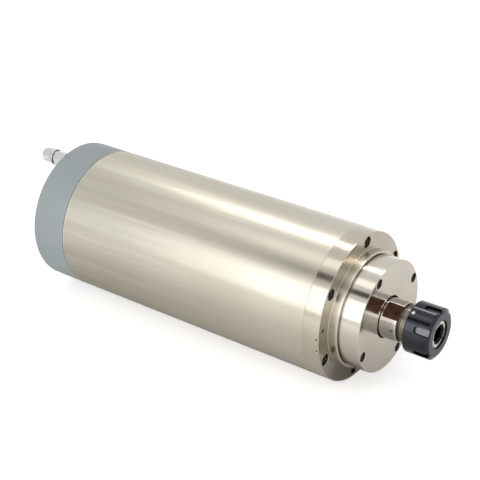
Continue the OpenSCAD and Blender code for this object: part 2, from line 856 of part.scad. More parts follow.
module rear_cap_screws()
    color(steel_black)
        around(4, port_turn + 45, cap_screw_r)
            mirror([1, 0, 0])
                socket_screw(-cap_rear - cap_head_sink, m4, cap_screw_len);

// The hose fittings point towards -X: their own X runs outwards from the cap's rear face
module at_port(angle)
    rotate([angle, 0, 0])
        translate([cap_rear, port_r, 0])
            mirror([1, 0, 0])
                children();

module fitting_body()
    difference() {
        union() {
            rod(pad_h - fit_shank_len, fit_hex_end, fit_shank_r);
            intersection() {
                hex_rod(fit_hex_start, fit_hex_end, fit_hex_w);
                lathe([
                    [fit_hex_start, 0], [fit_hex_start, fit_hex_w * 0.53],
                    [fit_hex_start + 0.8, fit_hex_w * 0.58], [fit_hex_end - 0.8, fit_hex_w * 0.58],
                    [fit_hex_end, fit_hex_w * 0.53], [fit_hex_end, 0]
                ]);
            }
            rod(fit_hex_end - cut, fit_thread_end, fit_thread_r);
        }
        rod(pad_h - fit_shank_len - cut, fit_thread_end, port_hole_r);
        rod(fit_thread_end - hose_socket_len, fit_thread_end + cut, hose_r);
    }

module fitting_bodies()
    color(nickel)
        for (a = [port_turn, port_turn + 180])
            at_port(a) fitting_body();

module fitting_seals()
    color(seal_black)
        for (a = [port_turn, port_turn + 180])
            at_port(a) ring(pad_h, fit_hex_start, fit_seal_r, fit_shank_r + slip_gap);

module ferrule()
    lathe([
        [ferrule_start, ferrule_bore_r], [ferrule_start, fit_thread_r - 0.6],
        [ferrule_start + 0.8, fit_thread_r], [ferrule_end, fit_thread_r], [ferrule_end, ferrule_bore_r]
    ]);

module hose_nut()
    lathe([
        [hose_nut_start, fit_thread_r + run_gap], [hose_nut_start, hose_flange_r - 0.4],
        [hose_nut_start + 0.4, hose_flange_r], [hose_nut_start + 2.6, hose_flange_r],
        [hose_nut_start + 3, hose_flange_r - 0.4], [hose_nut_start + 3, hose_nut_r - 0.5],
        [hose_nut_start + 3.8, hose_nut_r - 0.5], [hose_nut_start + 3.8, hose_nut_r],
        [hose_nut_end - hose_nose_len, hose_nut_r],
        for (a = [20 : 20 : 60])
            [hose_nut_end - hose_nose_len * (1 - sin(a)), hose_nut_r - hose_nose_drop * (1 - cos(a))],
        [hose_nut_end, hose_nut_r - 0.7 * hose_nose_drop], [hose_nut_end, nut_bore_r],
        [ferrule_end, nut_bore_r], [ferrule_end, fit_thread_r + run_gap]
    ]);

module inlet_ferrule() color(brass_col) at_port(port_turn) ferrule();
module outlet_ferrule() color(brass_col) at_port(port_turn + 180) ferrule();
module inlet_hose_nut() color(nickel) at_port(port_turn) hose_nut();
module outlet_hose_nut() color(nickel) at_port(port_turn + 180) hose_nut();

module at_connector()
    rotate([connector_turn, 0, 0])
        translate([cap_rear, connector_r, 0])
            mirror([1, 0, 0])
                children();

module connector_shell()
    color(nickel)
        at_connector()
            lathe([
                [-shell_tail, shell_bore_r], [-shell_tail, shell_thread_r], [0, shell_thread_r],
                [0, shell_flange_r], [2, shell_flange_r], [2.5, shell_flange_r - 0.5], [2.5, barrel_r],
                [connector_out - 0.8, barrel_r], [connector_out, barrel_r - 0.8],
                [connector_out, shell_bore_r], [3, shell_bore_r], [3, shell_stop_r],
                [-1, shell_stop_r], [-1, shell_bore_r]
            ]);

module connector_insulator()
    color(seal_black)
        at_connector()
            difference() {
                lathe([
                    [-insulator_tail, 0], [-insulator_tail, shell_bore_r - slip_gap],
                    [-1 - slip_gap, shell_bore_r - slip_gap], [-1 - slip_gap, shell_stop_r - slip_gap],
                    [3, shell_stop_r - slip_gap], [3, 0]
                ]);
                around(4, 45, pin_circle_r)
                    rod(-insulator_tail - cut, 3 + cut, pin_r + press_gap);
            }

module connector_pins()
    color(brass_col)
        at_connector()
            around(4, 45, pin_circle_r) {
                rod(-pin_tail, connector_out - 3, pin_r);
                cone(connector_out - 3, connector_out - 2.4, pin_r, pin_r * 0.6);
            }

module connector_panel_nut()
    color(nickel)
        at_connector()
            difference() {
                hex_rod(-cap_end_wall - panel_nut_len, -cap_end_wall, panel_nut_w);
                rod(-cap_end_wall - panel_nut_len - cut, -cap_end_wall + cut, shell_thread_r + thread_gap);
            }

module lead_wires()
    color("firebrick")
        at_connector()
            around(4, 45, pin_circle_r)
                difference() {
                    rod(cap_rear - stator_rear + end_turn_len, -insulator_tail - 0.6, wire_r);
                    rod(-pin_tail - slip_gap, 0, pin_r + slip_gap);
                }

module collet()
    color(steel_bright)
        difference() {
            lathe([
                [collet_rear, 0], [collet_rear, collet_rear_r - 0.5],
                [collet_rear + 0.5, collet_rear_r - 0.5 + 0.5], [taper_front, taper_front_r],
                [taper_front, collet_r - 1.8], [taper_front + 2.6, collet_r - 1.8],
                [taper_front + 2.6, collet_r], [collet_front - 3.8, collet_r],
                [collet_front, collet_face_r], [collet_front, 0]
            ]);
            rod(collet_rear - cut, collet_front + cut, collet_bore / 2);
            for (i = [0 : 7]) {
                rotate([i * 45, 0, 0])
                    translate([collet_rear + 7, 0, -slit_w / 2])
                        cube([collet_len, collet_r + cut, slit_w]);
                rotate([i * 45 + 22.5, 0, 0])
                    translate([collet_rear - cut, 0, -slit_w / 2])
                        cube([collet_len - 6 + cut, collet_r + cut, slit_w]);
            }
        }

module spanner_slot()
    translate([nut_front - slot_len + slot_w / 2, nut_d / 2 - slot_depth, 0]) {
        rotate([-90, 0, 0])
            cylinder(h = slot_depth + cut, r = slot_w / 2);
        translate([0, 0, -slot_w / 2])
            cube([slot_len, slot_depth + cut, slot_w]);
    }

module collet_nut()
    color(steel_black)
        difference() {
            lathe([
                [nut_rear, thread_r + run_gap], [nut_rear, nut_d / 2 - 1], [nut_rear + 1, nut_d / 2],
                [nut_front - 1.8, nut_d / 2], [nut_front, nut_d / 2 - 3.2],
                [nut_front, collet_face_r + 0.8],
                [collet_front, collet_face_r + run_gap + 0.02], [collet_front - 3.8, collet_r + run_gap + 0.02],
                [taper_front + 2.6 - run_gap, collet_r + run_gap + 0.02],
                [taper_front + 2.6 - run_gap, collet_r - 1.4],
                [taper_front + 0.3, collet_r - 1.4], [taper_front + 0.3, thread_r + run_gap]
            ]);
            translate([0, 1.2, 0])
                rod(taper_front, taper_front + 2.6 - run_gap, collet_r - 0.2);
            for (i = [0 : nut_slots - 1])
                rotate([33.4 + i * 360 / nut_slots, 0, 0])
                    spanner_slot();
            rotate([119.3, 0, 0])
                translate([nut_rear + 3.2, nut_d / 2 - 1, 0])
                    rotate([-90, 0, 0])
                        cylinder(h = 2, r = 1.5);
        }

outer_tube();
water_jacket();
jacket_seals();
front_housing();
flange_screws();
front_cover();
cover_screws();
front_cover_seal();
front_bearing_outer_rings();
front_bearing_inner_rings();
front_bearing_balls();
front_bearing_cages();
front_locknut();
shaft();
rotor_core();
rotor_cage();
rotor_balance_rings();
stator_core();
stator_windings();
rear_housing();
rear_housing_screws();
rear_bearing_sleeve();
preload_springs();
rear_bearing_outer_rings();
rear_bearing_inner_rings();
rear_bearing_balls();
rear_bearing_cages();
rear_locknut();
rear_retainer();
retainer_screws();
rear_cap();
rear_cap_screws();
port_seals();
fitting_bodies();
fitting_seals();
inlet_ferrule();
outlet_ferrule();
inlet_hose_nut();
outlet_hose_nut();
connector_shell();
connector_insulator();
connector_pins();
connector_panel_nut();
lead_wires();
collet();
collet_nut();
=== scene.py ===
import math

import bpy
from mathutils import Matrix, Vector


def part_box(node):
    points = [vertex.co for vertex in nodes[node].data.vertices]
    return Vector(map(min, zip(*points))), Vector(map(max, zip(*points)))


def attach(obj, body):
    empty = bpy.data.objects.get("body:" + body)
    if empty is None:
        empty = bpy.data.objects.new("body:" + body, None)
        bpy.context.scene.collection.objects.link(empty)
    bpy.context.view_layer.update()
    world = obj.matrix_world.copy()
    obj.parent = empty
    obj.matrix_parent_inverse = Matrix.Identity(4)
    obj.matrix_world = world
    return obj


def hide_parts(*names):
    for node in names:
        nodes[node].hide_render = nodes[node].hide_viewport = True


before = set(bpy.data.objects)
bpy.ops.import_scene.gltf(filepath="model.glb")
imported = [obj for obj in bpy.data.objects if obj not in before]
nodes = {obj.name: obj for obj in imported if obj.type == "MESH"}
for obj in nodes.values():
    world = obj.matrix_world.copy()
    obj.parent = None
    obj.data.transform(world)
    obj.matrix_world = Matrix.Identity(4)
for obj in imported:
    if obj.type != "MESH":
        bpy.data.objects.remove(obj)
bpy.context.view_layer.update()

# Sizes in millimetres: the first come from the frame, the rest are the real spindle's own

MM = 0.001


def low(node, axis):
    """A CAD node's lowest reach along an axis (0 is X), in millimetres."""
    return round(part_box(node)[0][axis] / MM, 2)


def high(node, axis):
    """A CAD node's highest reach along an axis, in millimetres."""
    return round(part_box(node)[1][axis] / MM, 2)


BODY_R = high("outer_tube", 1)
TUBE_REAR = low("outer_tube", 0)
TUBE_FRONT = high("outer_tube", 0)
HOUSING_REAR = low("front_housing", 0)
PILOT_LEN = high("front_housing", 0)
COVER_REAR = low("front_cover", 0)
COVER_FRONT = high("front_cover", 0)
COVER_R = high("front_cover", 1)
SHAFT_REAR = low("shaft", 0)
SHAFT_FRONT = high("shaft", 0)
NUT_REAR = low("collet_nut", 0)
NUT_FRONT = high("collet_nut", 0)
NUT_R = high("collet_nut", 1)
COLLET_REAR = low("collet", 0)
COLLET_FRONT = high("collet", 0)
CAP_REAR = TUBE_REAR - 35

TUBE_WALL = 2.5
MARKS_FROM = TUBE_FRONT - 40
MARKS_TO = TUBE_REAR + 50
EDGE = 0.8
BROKEN_EDGE = 0.12
ROOT_ROUND = 0.5
LIP_ROUND = 1.2
PILOT_R = BODY_R - 13.5
SHELL_R = BODY_R - 15
BOSS_R = 39.5
BEARING_REAR = HOUSING_REAR + 8
BEARING_SEAT_R = 31.02
BEARING_LIP_R = 26
SPIGOT_R = 30.95
NUT_ROOM_R = 26.5
NECK_W = 1.2
NECK_DEPTH = 1.3
SEAL_REAR = PILOT_LEN - 3
SEAL_FRONT = PILOT_LEN - 1
SEAL_FLOOR_R = SPIGOT_R - 1.75
NOSE_R = 16.5
COVER_BORE_R = NOSE_R + 1.1
LABYRINTH_R = COVER_BORE_R + 1.5
LABYRINTH_FRONT = COVER_FRONT - 3
LABYRINTH_REAR = COVER_FRONT - 4.5
NUT_ROOM_FRONT = COVER_REAR + 11

M4_R, M4_HEAD_R, M4_HEAD_H = 2, 3.5, 4
M5_R, M5_HEAD_R, M5_HEAD_H = 2.5, 4.25, 5
HEAD_ROOM = 0.5
SCREW_ROOM = 0.25
TAP_DEPTH = 12
FLANGE_SCREWS, FLANGE_PCR, FLANGE_TURN, FLANGE_SINK = 6, BODY_R - 6.5, 24.6, 2
COVER_SCREWS, COVER_PCR, COVER_TURN, COVER_SINK = 4, COVER_R - 4.9, 25.6, 2
CAP_SCREWS, CAP_PCR, CAP_SINK = 4, BODY_R - 10.5, 1.5
JACK_R = 1.65
JACK_TURN = FLANGE_TURN + 150
JACK_DEPTH = 16
GRUB_R = 0.8
GRUB_X = -2
GRUB_TURNS = (180, 190)

REAR_JOURNAL_R = 12.48
REAR_JOURNAL_FRONT = TUBE_REAR + 12
REAR_SHOULDER_R = 15.2
ROTOR_SEAT_R = 19
ROTOR_SEAT_REAR = TUBE_REAR + 24
ROTOR_SEAT_FRONT = TUBE_FRONT - 25
FRONT_SHOULDER_R = 20.9
FRONT_JOURNAL_R = 17.48
FRONT_JOURNAL_END = PILOT_LEN + 6

FLATS_W = 30
FLATS_TURN = 126.3
FLATS_REAR = COVER_FRONT + 1.5
FLATS_FRONT = FLATS_REAR + 13.3
FLAT_EDGE_LEAN = math.degrees(math.acos(FLATS_W / 2 / NOSE_R)) / 2
FLAT_EDGE_W = 2 * NOSE_R * math.cos(math.radians(FLAT_EDGE_LEAN)) - 0.12
RUNOUT_R = 14.8
THREAD_R = 16
THREAD_ROOT_R = 15.1
THREAD_PITCH = 1.5
THREAD_REAR = FLATS_FRONT + 2.1
TAPER_FRONT_R = 12.69
TAPER_REAR_R = 9.15

NUT_SLOTS = 6
NUT_BORE_R = THREAD_R + 0.05
SLOT_TURN = 33.4
SLOT_W = 6
SLOT_LEN = 13.5
SLOT_DEPTH = 2.2
SLOT_SHADE_RIM = 0.55
DOT_X = NUT_REAR + 3.2
DOT_TURN = 119.3
DOT_R = 1.5
DOT_DEPTH = 0.55
COLLET_R = 13
COLLET_FACE_R = 10.8
COLLET_REAR_R = 9.1
COLLET_BORE_R = 6.35
SLIT_W = 0.8
TAPER_FRONT = COLLET_FRONT - 8
GROOVE_R = COLLET_R - 1.8
FACE_TAPER_REAR = COLLET_FRONT - 3.8
SLITS = 8

# Width of the painted highlight along the tube's rear edge
HIGHLIGHT_BAND_W = 0.6
CAP_WALL_R = BODY_R - 6
CAP_INSIDE = CAP_REAR + 8
CAP_ROUND = 1.5
SEAM_W = 0.5
SEAM_DEPTH = 0.9
PLUG_X, PLUG_TURN, PLUG_R = CAP_REAR + 4.8, 106.6, 2.2
PAD_R = 8.5
PAD_H = 2.2
PORT_BOSS_R = 6.5
SCREW_POST_R = 5
PORT_TURN = 101
PORT_R = BODY_R - 11.2
CAP_SCREW_TURN = PORT_TURN + 45
WATER_R = 2.2
SHANK_R = 4.85
SHANK_LEN = 6.3
HEX_W = 12.5
HEX_START = 5.2
HEX_END = 16.6
FIT_THREAD_R = 5.5
FIT_ROOT_R = 5.0
FIT_END = 22.8
FIT_PITCH = 1.0
HOSE_R = 4.05
HOSE_DEPTH = 12
HOSE_NUT_R = 6.4
GRIP_GROOVES = 24
NUT_START = HEX_END + 1
NUT_END = NUT_START + 14.1
CONNECTOR_R = BODY_R - 21.3
CONNECTOR_TURN = PORT_TURN - 90
CONNECTOR_HOLE_R = 9.1
SHELL_FLANGE_R = 12
BARREL_R = 9.6
BARREL_ROOT_R = 9.1
BARREL_END = 13
SHELL_BORE_R = 8
SHELL_STEP_R = 7
COUPLING_PITCH = 1.5


# Shader nodes

def add(tree, kind, inputs=None, **settings):
    """Adds a shader node; each input takes a value or another node's output."""
    made = tree.nodes.new(kind)
    for key, value in settings.items():
        setattr(made, key, value)
    for key, value in (inputs or {}).items():
        if isinstance(value, bpy.types.NodeSocket):
            tree.links.new(value, made.inputs[key])
        else:
            made.inputs[key].default_value = value
    return made


def new_group(name, inputs, outputs):
    """An empty node group with named inputs and outputs."""
    group = bpy.data.node_groups.new(name, "ShaderNodeTree")
    for label, kind, value in inputs:
        socket = group.interface.new_socket(label, in_out="INPUT", socket_type=kind)
        if value is not None:
            socket.default_value = value
    for label, kind in outputs:
        group.interface.new_socket(label, in_out="OUTPUT", socket_type=kind)
    return group, add(group, "NodeGroupInput").outputs, add(group, "NodeGroupOutput")


def make_streaks():
    """Long marks that run along the spindle's axis, as a mask from 0 to 1."""
    group, given, result = new_group(
        "Axial streaks",
        [("Vector", "NodeSocketVector", None), ("Along", "NodeSocketFloat", 4.0),
         ("Across", "NodeSocketFloat", 300.0), ("Detail", "NodeSocketFloat", 3.0)],
        [("Mask", "NodeSocketFloat")])
    stretch = add(group, "ShaderNodeCombineXYZ",
                  {"X": given["Along"], "Y": given["Across"], "Z": given["Across"]})
    scaled = add(group, "ShaderNodeVectorMath",
                 {0: given["Vector"], 1: stretch.outputs[0]}, operation="MULTIPLY")
    noise = add(group, "ShaderNodeTexNoise",
                {"Vector": scaled.outputs[0], "Scale": 1.0, "Detail": given["Detail"], "Roughness": 0.55})
    spread = add(group, "ShaderNodeMapRange",
                 {"Value": noise.outputs[0], "From Min": 0.3, "From Max": 0.7})
    group.links.new(spread.outputs[0], result.inputs["Mask"])
    return group


def make_turned_rings():
    """Fine lathe marks: rings round the axis on a bore or rim, circles on a faced side."""
    group, given, result = new_group(
        "Turned rings",
        [("Vector", "NodeSocketVector", None), ("Rings", "NodeSocketFloat", 1500.0),
         ("Detail", "NodeSocketFloat", 2.0)],
        [("Mask", "NodeSocketFloat")])
    split = add(group, "ShaderNodeSeparateXYZ", {0: given["Vector"]})
    side = add(group, "ShaderNodeCombineXYZ", {"Y": split.outputs["Y"], "Z": split.outputs["Z"]})
    from_axis = add(group, "ShaderNodeVectorMath", {0: side.outputs[0]}, operation="LENGTH")
    place = add(group, "ShaderNodeCombineXYZ",
                {"X": split.outputs["X"], "Y": from_axis.outputs["Value"]})
    scaled = add(group, "ShaderNodeVectorMath",
                 {0: place.outputs[0], "Scale": given["Rings"]}, operation="SCALE")
    noise = add(group, "ShaderNodeTexNoise",
                {"Vector": scaled.outputs[0], "Scale": 1.0, "Detail": given["Detail"], "Roughness": 0.6})
    spread = add(group, "ShaderNodeMapRange",
                 {"Value": noise.outputs[0], "From Min": 0.3, "From Max": 0.7})
    group.links.new(spread.outputs[0], result.inputs["Mask"])
    return group


def make_patches():
    """Soft cloudy patches, as a mask from 0 to 1."""
    group, given, result = new_group(
        "Soft patches",
        [("Vector", "NodeSocketVector", None), ("Scale", "NodeSocketFloat", 30.0),
         ("From", "NodeSocketFloat", 0.35), ("To", "NodeSocketFloat", 0.65)],
        [("Mask", "NodeSocketFloat")])
    noise = add(group, "ShaderNodeTexNoise",
                {"Vector": given["Vector"], "Scale": given["Scale"], "Detail": 3.0, "Roughness": 0.5})
    spread = add(group, "ShaderNodeMapRange",
                 {"Value": noise.outputs[0], "From Min": given["From"], "From Max": given["To"]})
    group.links.new(spread.outputs[0], result.inputs["Mask"])
    return group


STREAKS = make_streaks()
RINGS = make_turned_rings()
PATCHES = make_patches()


def start_material(name):
    """A material with a Principled shader, and its tree and object coordinates."""
    material = bpy.data.materials.new(name)
    material.use_nodes = True
    tree = material.node_tree
    tree.nodes.clear()
    shader = add(tree, "ShaderNodeBsdfPrincipled")
    output = add(tree, "ShaderNodeOutputMaterial")
    tree.links.new(shader.outputs[0], output.inputs[0])
    coords = add(tree, "ShaderNodeTexCoord").outputs["Object"]
    return material, tree, shader, coords


def masked(tree, group, coords, **inputs):
    """The mask of one of the node groups, with its own values."""
    made = add(tree, "ShaderNodeGroup", node_tree=group)
    tree.links.new(coords, made.inputs["Vector"])
    for key, value in inputs.items():
        made.inputs[key].default_value = value
    return made.outputs["Mask"]


def blend_colours(tree, mask, dark, light):
    """Mixes two colours by a mask."""
    mix = add(tree, "ShaderNodeMix", {0: mask}, data_type="RGBA")
    mix.inputs[6].default_value = (*dark, 1)
    mix.inputs[7].default_value = (*light, 1)
    return mix.outputs[2]


def ranged(tree, mask, least, most):
    """Stretches a mask between two values."""
    return add(tree, "ShaderNodeMapRange", {"Value": mask, "To Min": least, "To Max": most}).outputs[0]


def times(tree, first, second):
    """The product of two values."""
    return add(tree, "ShaderNodeMath", {0: first, 1: second}, operation="MULTIPLY").outputs[0]


def bumped(tree, shader, height, distance):
    """Feeds a height into the shader's normal, after any bump that is there already."""
    bump = add(tree, "ShaderNodeBump", {"Height": height, "Distance": distance, "Strength": 1.0})
    if shader.inputs["Normal"].links:
        tree.links.new(shader.inputs["Normal"].links[0].from_socket, bump.inputs["Normal"])
    tree.links.new(bump.outputs[0], shader.inputs["Normal"])


def metal(name, dark, light, smooth, rough, rings=0.0, ring_height=0.0, patch_scale=25.0):
    """Machined metal: two tones in soft patches, roughness that varies, and lathe marks."""
    material, tree, shader, coords = start_material(name)
    shader.inputs["Metallic"].default_value = 1.0
    patches = masked(tree, PATCHES, coords, Scale=patch_scale)
    tree.links.new(blend_colours(tree, patches, dark, light), shader.inputs["Base Color"])
    tree.links.new(ranged(tree, patches, smooth, rough), shader.inputs["Roughness"])
    if rings:
        marks = masked(tree, RINGS, coords, Rings=rings)
        bumped(tree, shader, marks, ring_height)
    return material


def ground_tube_metal():
    """The outer tube: stainless steel ground along its length, with soft marks that grow to the rear."""
    material, tree, shader, coords = start_material("ground stainless tube")
    shader.inputs["Metallic"].default_value = 1.0
    along = add(tree, "ShaderNodeSeparateXYZ", {0: coords}).outputs["X"]
    rearward = add(tree, "ShaderNodeMapRange", {
        "Value": along, "From Min": MARKS_FROM * MM, "From Max": MARKS_TO * MM}).outputs[0]
    patches = masked(tree, PATCHES, coords, Scale=14.0)
    broad = masked(tree, STREAKS, coords, Along=3.0, Across=90.0, Detail=3.0)
    brown = masked(tree, STREAKS, coords, Along=5.0, Across=170.0, Detail=4.0)
    place = add(tree, "ShaderNodeMapping", {"Vector": coords, "Location": (0.37, 0.21, 0.55)}).outputs[0]
    grey = masked(tree, STREAKS, place, Along=6.0, Across=140.0, Detail=4.0)
    fine = masked(tree, STREAKS, coords, Along=12.0, Across=1400.0, Detail=2.0)
    steel = blend_colours(tree, patches, (0.49, 0.46, 0.39), (0.53, 0.50, 0.43))
    browned = add(tree, "ShaderNodeMix", {
        0: times(tree, brown, rearward), 6: steel, 7: (0.43, 0.375, 0.31, 1)}, data_type="RGBA")
    grey_share = times(tree, times(tree, grey, rearward), 0.7)
    greyed = add(tree, "ShaderNodeMix", {
        0: grey_share, 6: browned.outputs[2], 7: (0.42, 0.43, 0.37, 1)}, data_type="RGBA")
    tree.links.new(greyed.outputs[2], shader.inputs["Base Color"])
    tree.links.new(ranged(tree, rearward, 0.28, 0.40), shader.inputs["Roughness"])
    bumped(tree, shader, times(tree, broad, rearward), 0.0003)
    bumped(tree, shader, fine, 0.000004)
    return material


def paint(name, dark, light, roughness):
    """Satin paint with a slight orange peel."""
    material, tree, shader, coords = start_material(name)
    patches = masked(tree, PATCHES, coords, Scale=18.0)
    tree.links.new(blend_colours(tree, patches, dark, light), shader.inputs["Base Color"])
    shader.inputs["Roughness"].default_value = roughness
    peel = add(tree, "ShaderNodeTexNoise", {"Vector": coords, "Scale": 700.0, "Detail": 2.0}).outputs[0]
    bumped(tree, shader, peel, 0.00004)
    return material


def plain(name, dark, light, roughness):
    """Rubber, resin, moulded plastic or a painted shadow, with a fine grain."""
    material, tree, shader, coords = start_material(name)
    patches = masked(tree, PATCHES, coords, Scale=60.0)
    tree.links.new(blend_colours(tree, patches, dark, light), shader.inputs["Base Color"])
    tree.links.new(ranged(tree, patches, roughness - 0.06, roughness + 0.06), shader.inputs["Roughness"])
    fine = add(tree, "ShaderNodeTexNoise", {"Vector": coords, "Scale": 400.0, "Detail": 3.0}).outputs[0]
    bumped(tree, shader, fine, 0.00002)
    return material


TUBE_STEEL = ground_tube_metal()
FLANGE_STEEL = metal("turned flange steel", (0.47, 0.43, 0.36), (0.53, 0.49, 0.42),
                     smooth=0.16, rough=0.22, rings=900.0, ring_height=0.000003)
COVER_STEEL = metal("faced cover steel", (0.51, 0.47, 0.42), (0.55, 0.52, 0.46),
                    smooth=0.10, rough=0.19, rings=1200.0, ring_height=0.000003)
# A darker copy of the flange steel for the flange's front face: painted shade
SHADED_FACE_STEEL = metal("flange face steel with painted shade", (0.41, 0.38, 0.32), (0.47, 0.43, 0.37),
                   smooth=0.16, rough=0.24, rings=900.0, ring_height=0.000003)
SHAFT_STEEL = metal("ground shaft steel", (0.42, 0.41, 0.38), (0.48, 0.47, 0.44),
                    smooth=0.09, rough=0.16, rings=2500.0, ring_height=0.000002)
COLLET_STEEL = metal("ground collet steel", (0.55, 0.54, 0.51), (0.62, 0.61, 0.58),
                     smooth=0.12, rough=0.22, rings=2500.0, ring_height=0.000003)
BEARING_STEEL = metal("honed bearing steel", (0.56, 0.56, 0.56), (0.62, 0.62, 0.62),
                      smooth=0.05, rough=0.10)
PILOT_STEEL = metal("satin pilot steel", (0.50, 0.46, 0.39), (0.56, 0.52, 0.45),
                    smooth=0.27, rough=0.36, rings=900.0, ring_height=0.000003)
BLUED_STEEL = metal("blued nut steel", (0.030, 0.031, 0.038), (0.044, 0.045, 0.054),
                    smooth=0.10, rough=0.15)
SLOT_STEEL = metal("milled slot floor", (0.085, 0.085, 0.093), (0.12, 0.12, 0.13),
                   smooth=0.2, rough=0.3)
# Near-black steel for the nut's slots and bores and the collet's slits and bore: painted shade
PAINTED_SHADE_STEEL = metal("painted shade in slots and bores", (0.008, 0.008, 0.010), (0.014, 0.014, 0.017),
                    smooth=0.4, rough=0.5)
# Dark steel for the spindle nose's run-out groove and thread root: painted shade
RECESS_SHADE_STEEL = metal("painted shade in the nose groove", (0.055, 0.045, 0.035), (0.11, 0.09, 0.07),
                    smooth=0.3, rough=0.4)
DOT_STEEL = metal("bright balance spot", (0.42, 0.41, 0.40), (0.60, 0.59, 0.57),
                  smooth=0.2, rough=0.3, patch_scale=400.0)
FLAT_STEEL = metal("browned wrench flat", (0.040, 0.018, 0.012), (0.105, 0.055, 0.042),
                   smooth=0.22, rough=0.32, patch_scale=90.0)
THREAD_STEEL = metal("cut thread steel", (0.30, 0.28, 0.25), (0.44, 0.41, 0.37),
                     smooth=0.2, rough=0.3)
SCREW_STEEL = metal("black oxide screw", (0.020, 0.018, 0.017), (0.040, 0.036, 0.034),
                    smooth=0.28, rough=0.42)
NICKEL = metal("bright nickel", (0.54, 0.56, 0.55), (0.64, 0.66, 0.65),
               smooth=0.10, rough=0.20, rings=1800.0, ring_height=0.000004)
BRASS = metal("turned brass", (0.60, 0.43, 0.18), (0.68, 0.50, 0.23),
              smooth=0.14, rough=0.24, rings=2000.0, ring_height=0.000003)
COPPER = metal("wound copper", (0.50, 0.22, 0.11), (0.62, 0.30, 0.17),
               smooth=0.25, rough=0.4, rings=900.0, ring_height=0.00001)
ALUMINIUM = metal("machined aluminium", (0.60, 0.61, 0.62), (0.68, 0.69, 0.70),
                  smooth=0.22, rough=0.34, rings=1200.0, ring_height=0.000006)
LAMINATION = metal("stacked sheet", (0.16, 0.16, 0.17), (0.24, 0.24, 0.25),
                   smooth=0.35, rough=0.5, rings=2000.0, ring_height=0.00002)
# Pale steel on the tube's rear edge and along the wrench flats' edges: painted highlights
PAINTED_HIGHLIGHT_STEEL = metal("painted highlight on edges", (0.72, 0.69, 0.62), (0.80, 0.77, 0.70),
                   smooth=0.25, rough=0.35)
# Near-black paint in the seam between the cap and the tube: painted shadow
SHADOW_PAINT = plain("painted shadow in the cap seam", (0.05, 0.05, 0.05), (0.08, 0.08, 0.08), 0.6)
CAP_PAINT = paint("grey cap paint", (0.275, 0.315, 0.325), (0.300, 0.335, 0.345), 0.42)
RUBBER = plain("black nitrile", (0.018, 0.018, 0.018), (0.03, 0.03, 0.03), 0.55)
RESIN = plain("fabric resin", (0.30, 0.18, 0.07), (0.40, 0.25, 0.11), 0.5)
INSULATOR = plain("black insulator", (0.02, 0.02, 0.022), (0.035, 0.035, 0.037), 0.4)
SLEEVE = plain("red wire sleeve", (0.30, 0.02, 0.02), (0.42, 0.03, 0.03), 0.45)

NODE_FINISH = {
    "outer_tube": TUBE_STEEL, "water_jacket": ALUMINIUM, "jacket_seals": RUBBER,
    "front_housing": FLANGE_STEEL, "flange_screws": SCREW_STEEL, "front_cover": COVER_STEEL,
    "cover_screws": SCREW_STEEL, "front_cover_seal": RUBBER,
    "front_bearing_outer_rings": BEARING_STEEL, "front_bearing_inner_rings": BEARING_STEEL,
    "front_bearing_balls": BEARING_STEEL, "front_bearing_cages": RESIN, "front_locknut": SHAFT_STEEL,
    "shaft": SHAFT_STEEL, "rotor_core": LAMINATION, "rotor_cage": COPPER, "rotor_balance_rings": BRASS,
    "stator_core": LAMINATION, "stator_windings": COPPER, "rear_housing": ALUMINIUM,
    "rear_housing_screws": SCREW_STEEL, "rear_bearing_sleeve": BEARING_STEEL,
    "preload_springs": BEARING_STEEL, "rear_bearing_outer_rings": BEARING_STEEL,
    "rear_bearing_inner_rings": BEARING_STEEL, "rear_bearing_balls": BEARING_STEEL,
    "rear_bearing_cages": RESIN, "rear_locknut": SCREW_STEEL, "rear_retainer": ALUMINIUM,
    "retainer_screws": SCREW_STEEL, "rear_cap": CAP_PAINT, "rear_cap_screws": SCREW_STEEL,
    "port_seals": RUBBER, "fitting_bodies": NICKEL, "fitting_seals": RUBBER,
    "inlet_ferrule": BRASS, "outlet_ferrule": BRASS, "inlet_hose_nut": NICKEL,
    "outlet_hose_nut": NICKEL, "connector_shell": NICKEL, "connector_insulator": INSULATOR,
    "connector_pins": BRASS, "connector_panel_nut": NICKEL, "lead_wires": SLEEVE,
    "collet": COLLET_STEEL, "collet_nut": BLUED_STEEL,
}
for name, material in NODE_FINISH.items():
    mesh = nodes[name].data
    mesh.materials.clear()
    mesh.materials.append(material)


# Modelling helpers; their sizes are in millimetres

def pick_only(piece):
    """Selects one piece alone and makes it the active one."""
    bpy.ops.object.select_all(action="DESELECT")
    piece.select_set(True)
    bpy.context.view_layer.objects.active = piece


def start_editing(piece):
    """Opens a piece in edit mode with all of its mesh selected."""
    pick_only(piece)
    bpy.ops.object.mode_set(mode="EDIT")
    bpy.ops.mesh.select_all(action="SELECT")


def stop_editing():
    """Goes back to object mode, which also brings the selection up to date."""
    bpy.ops.object.mode_set(mode="OBJECT")


def one_point(name, x, y, z):
    """A mesh of one vertex at a place, open in edit mode, to extrude an outline from."""
    bpy.ops.object.select_all(action="DESELECT")
    bpy.ops.mesh.primitive_plane_add(size=MM)
    piece = bpy.context.object
    piece.name = name
    start_editing(piece)
    bpy.ops.mesh.merge(type="CENTER")
    bpy.ops.transform.translate(value=(x * MM, y * MM, z * MM))
    return piece


def draw_outline(outline):
    """Extrudes the selected vertex from point to point of an outline of (x, radius)."""
    for (x0, r0), (x1, r1) in zip(outline, outline[1:]):
        step = ((x1 - x0) * MM, 0, (r1 - r0) * MM)
        bpy.ops.mesh.extrude_vertices_move(TRANSFORM_OT_translate={"value": step})


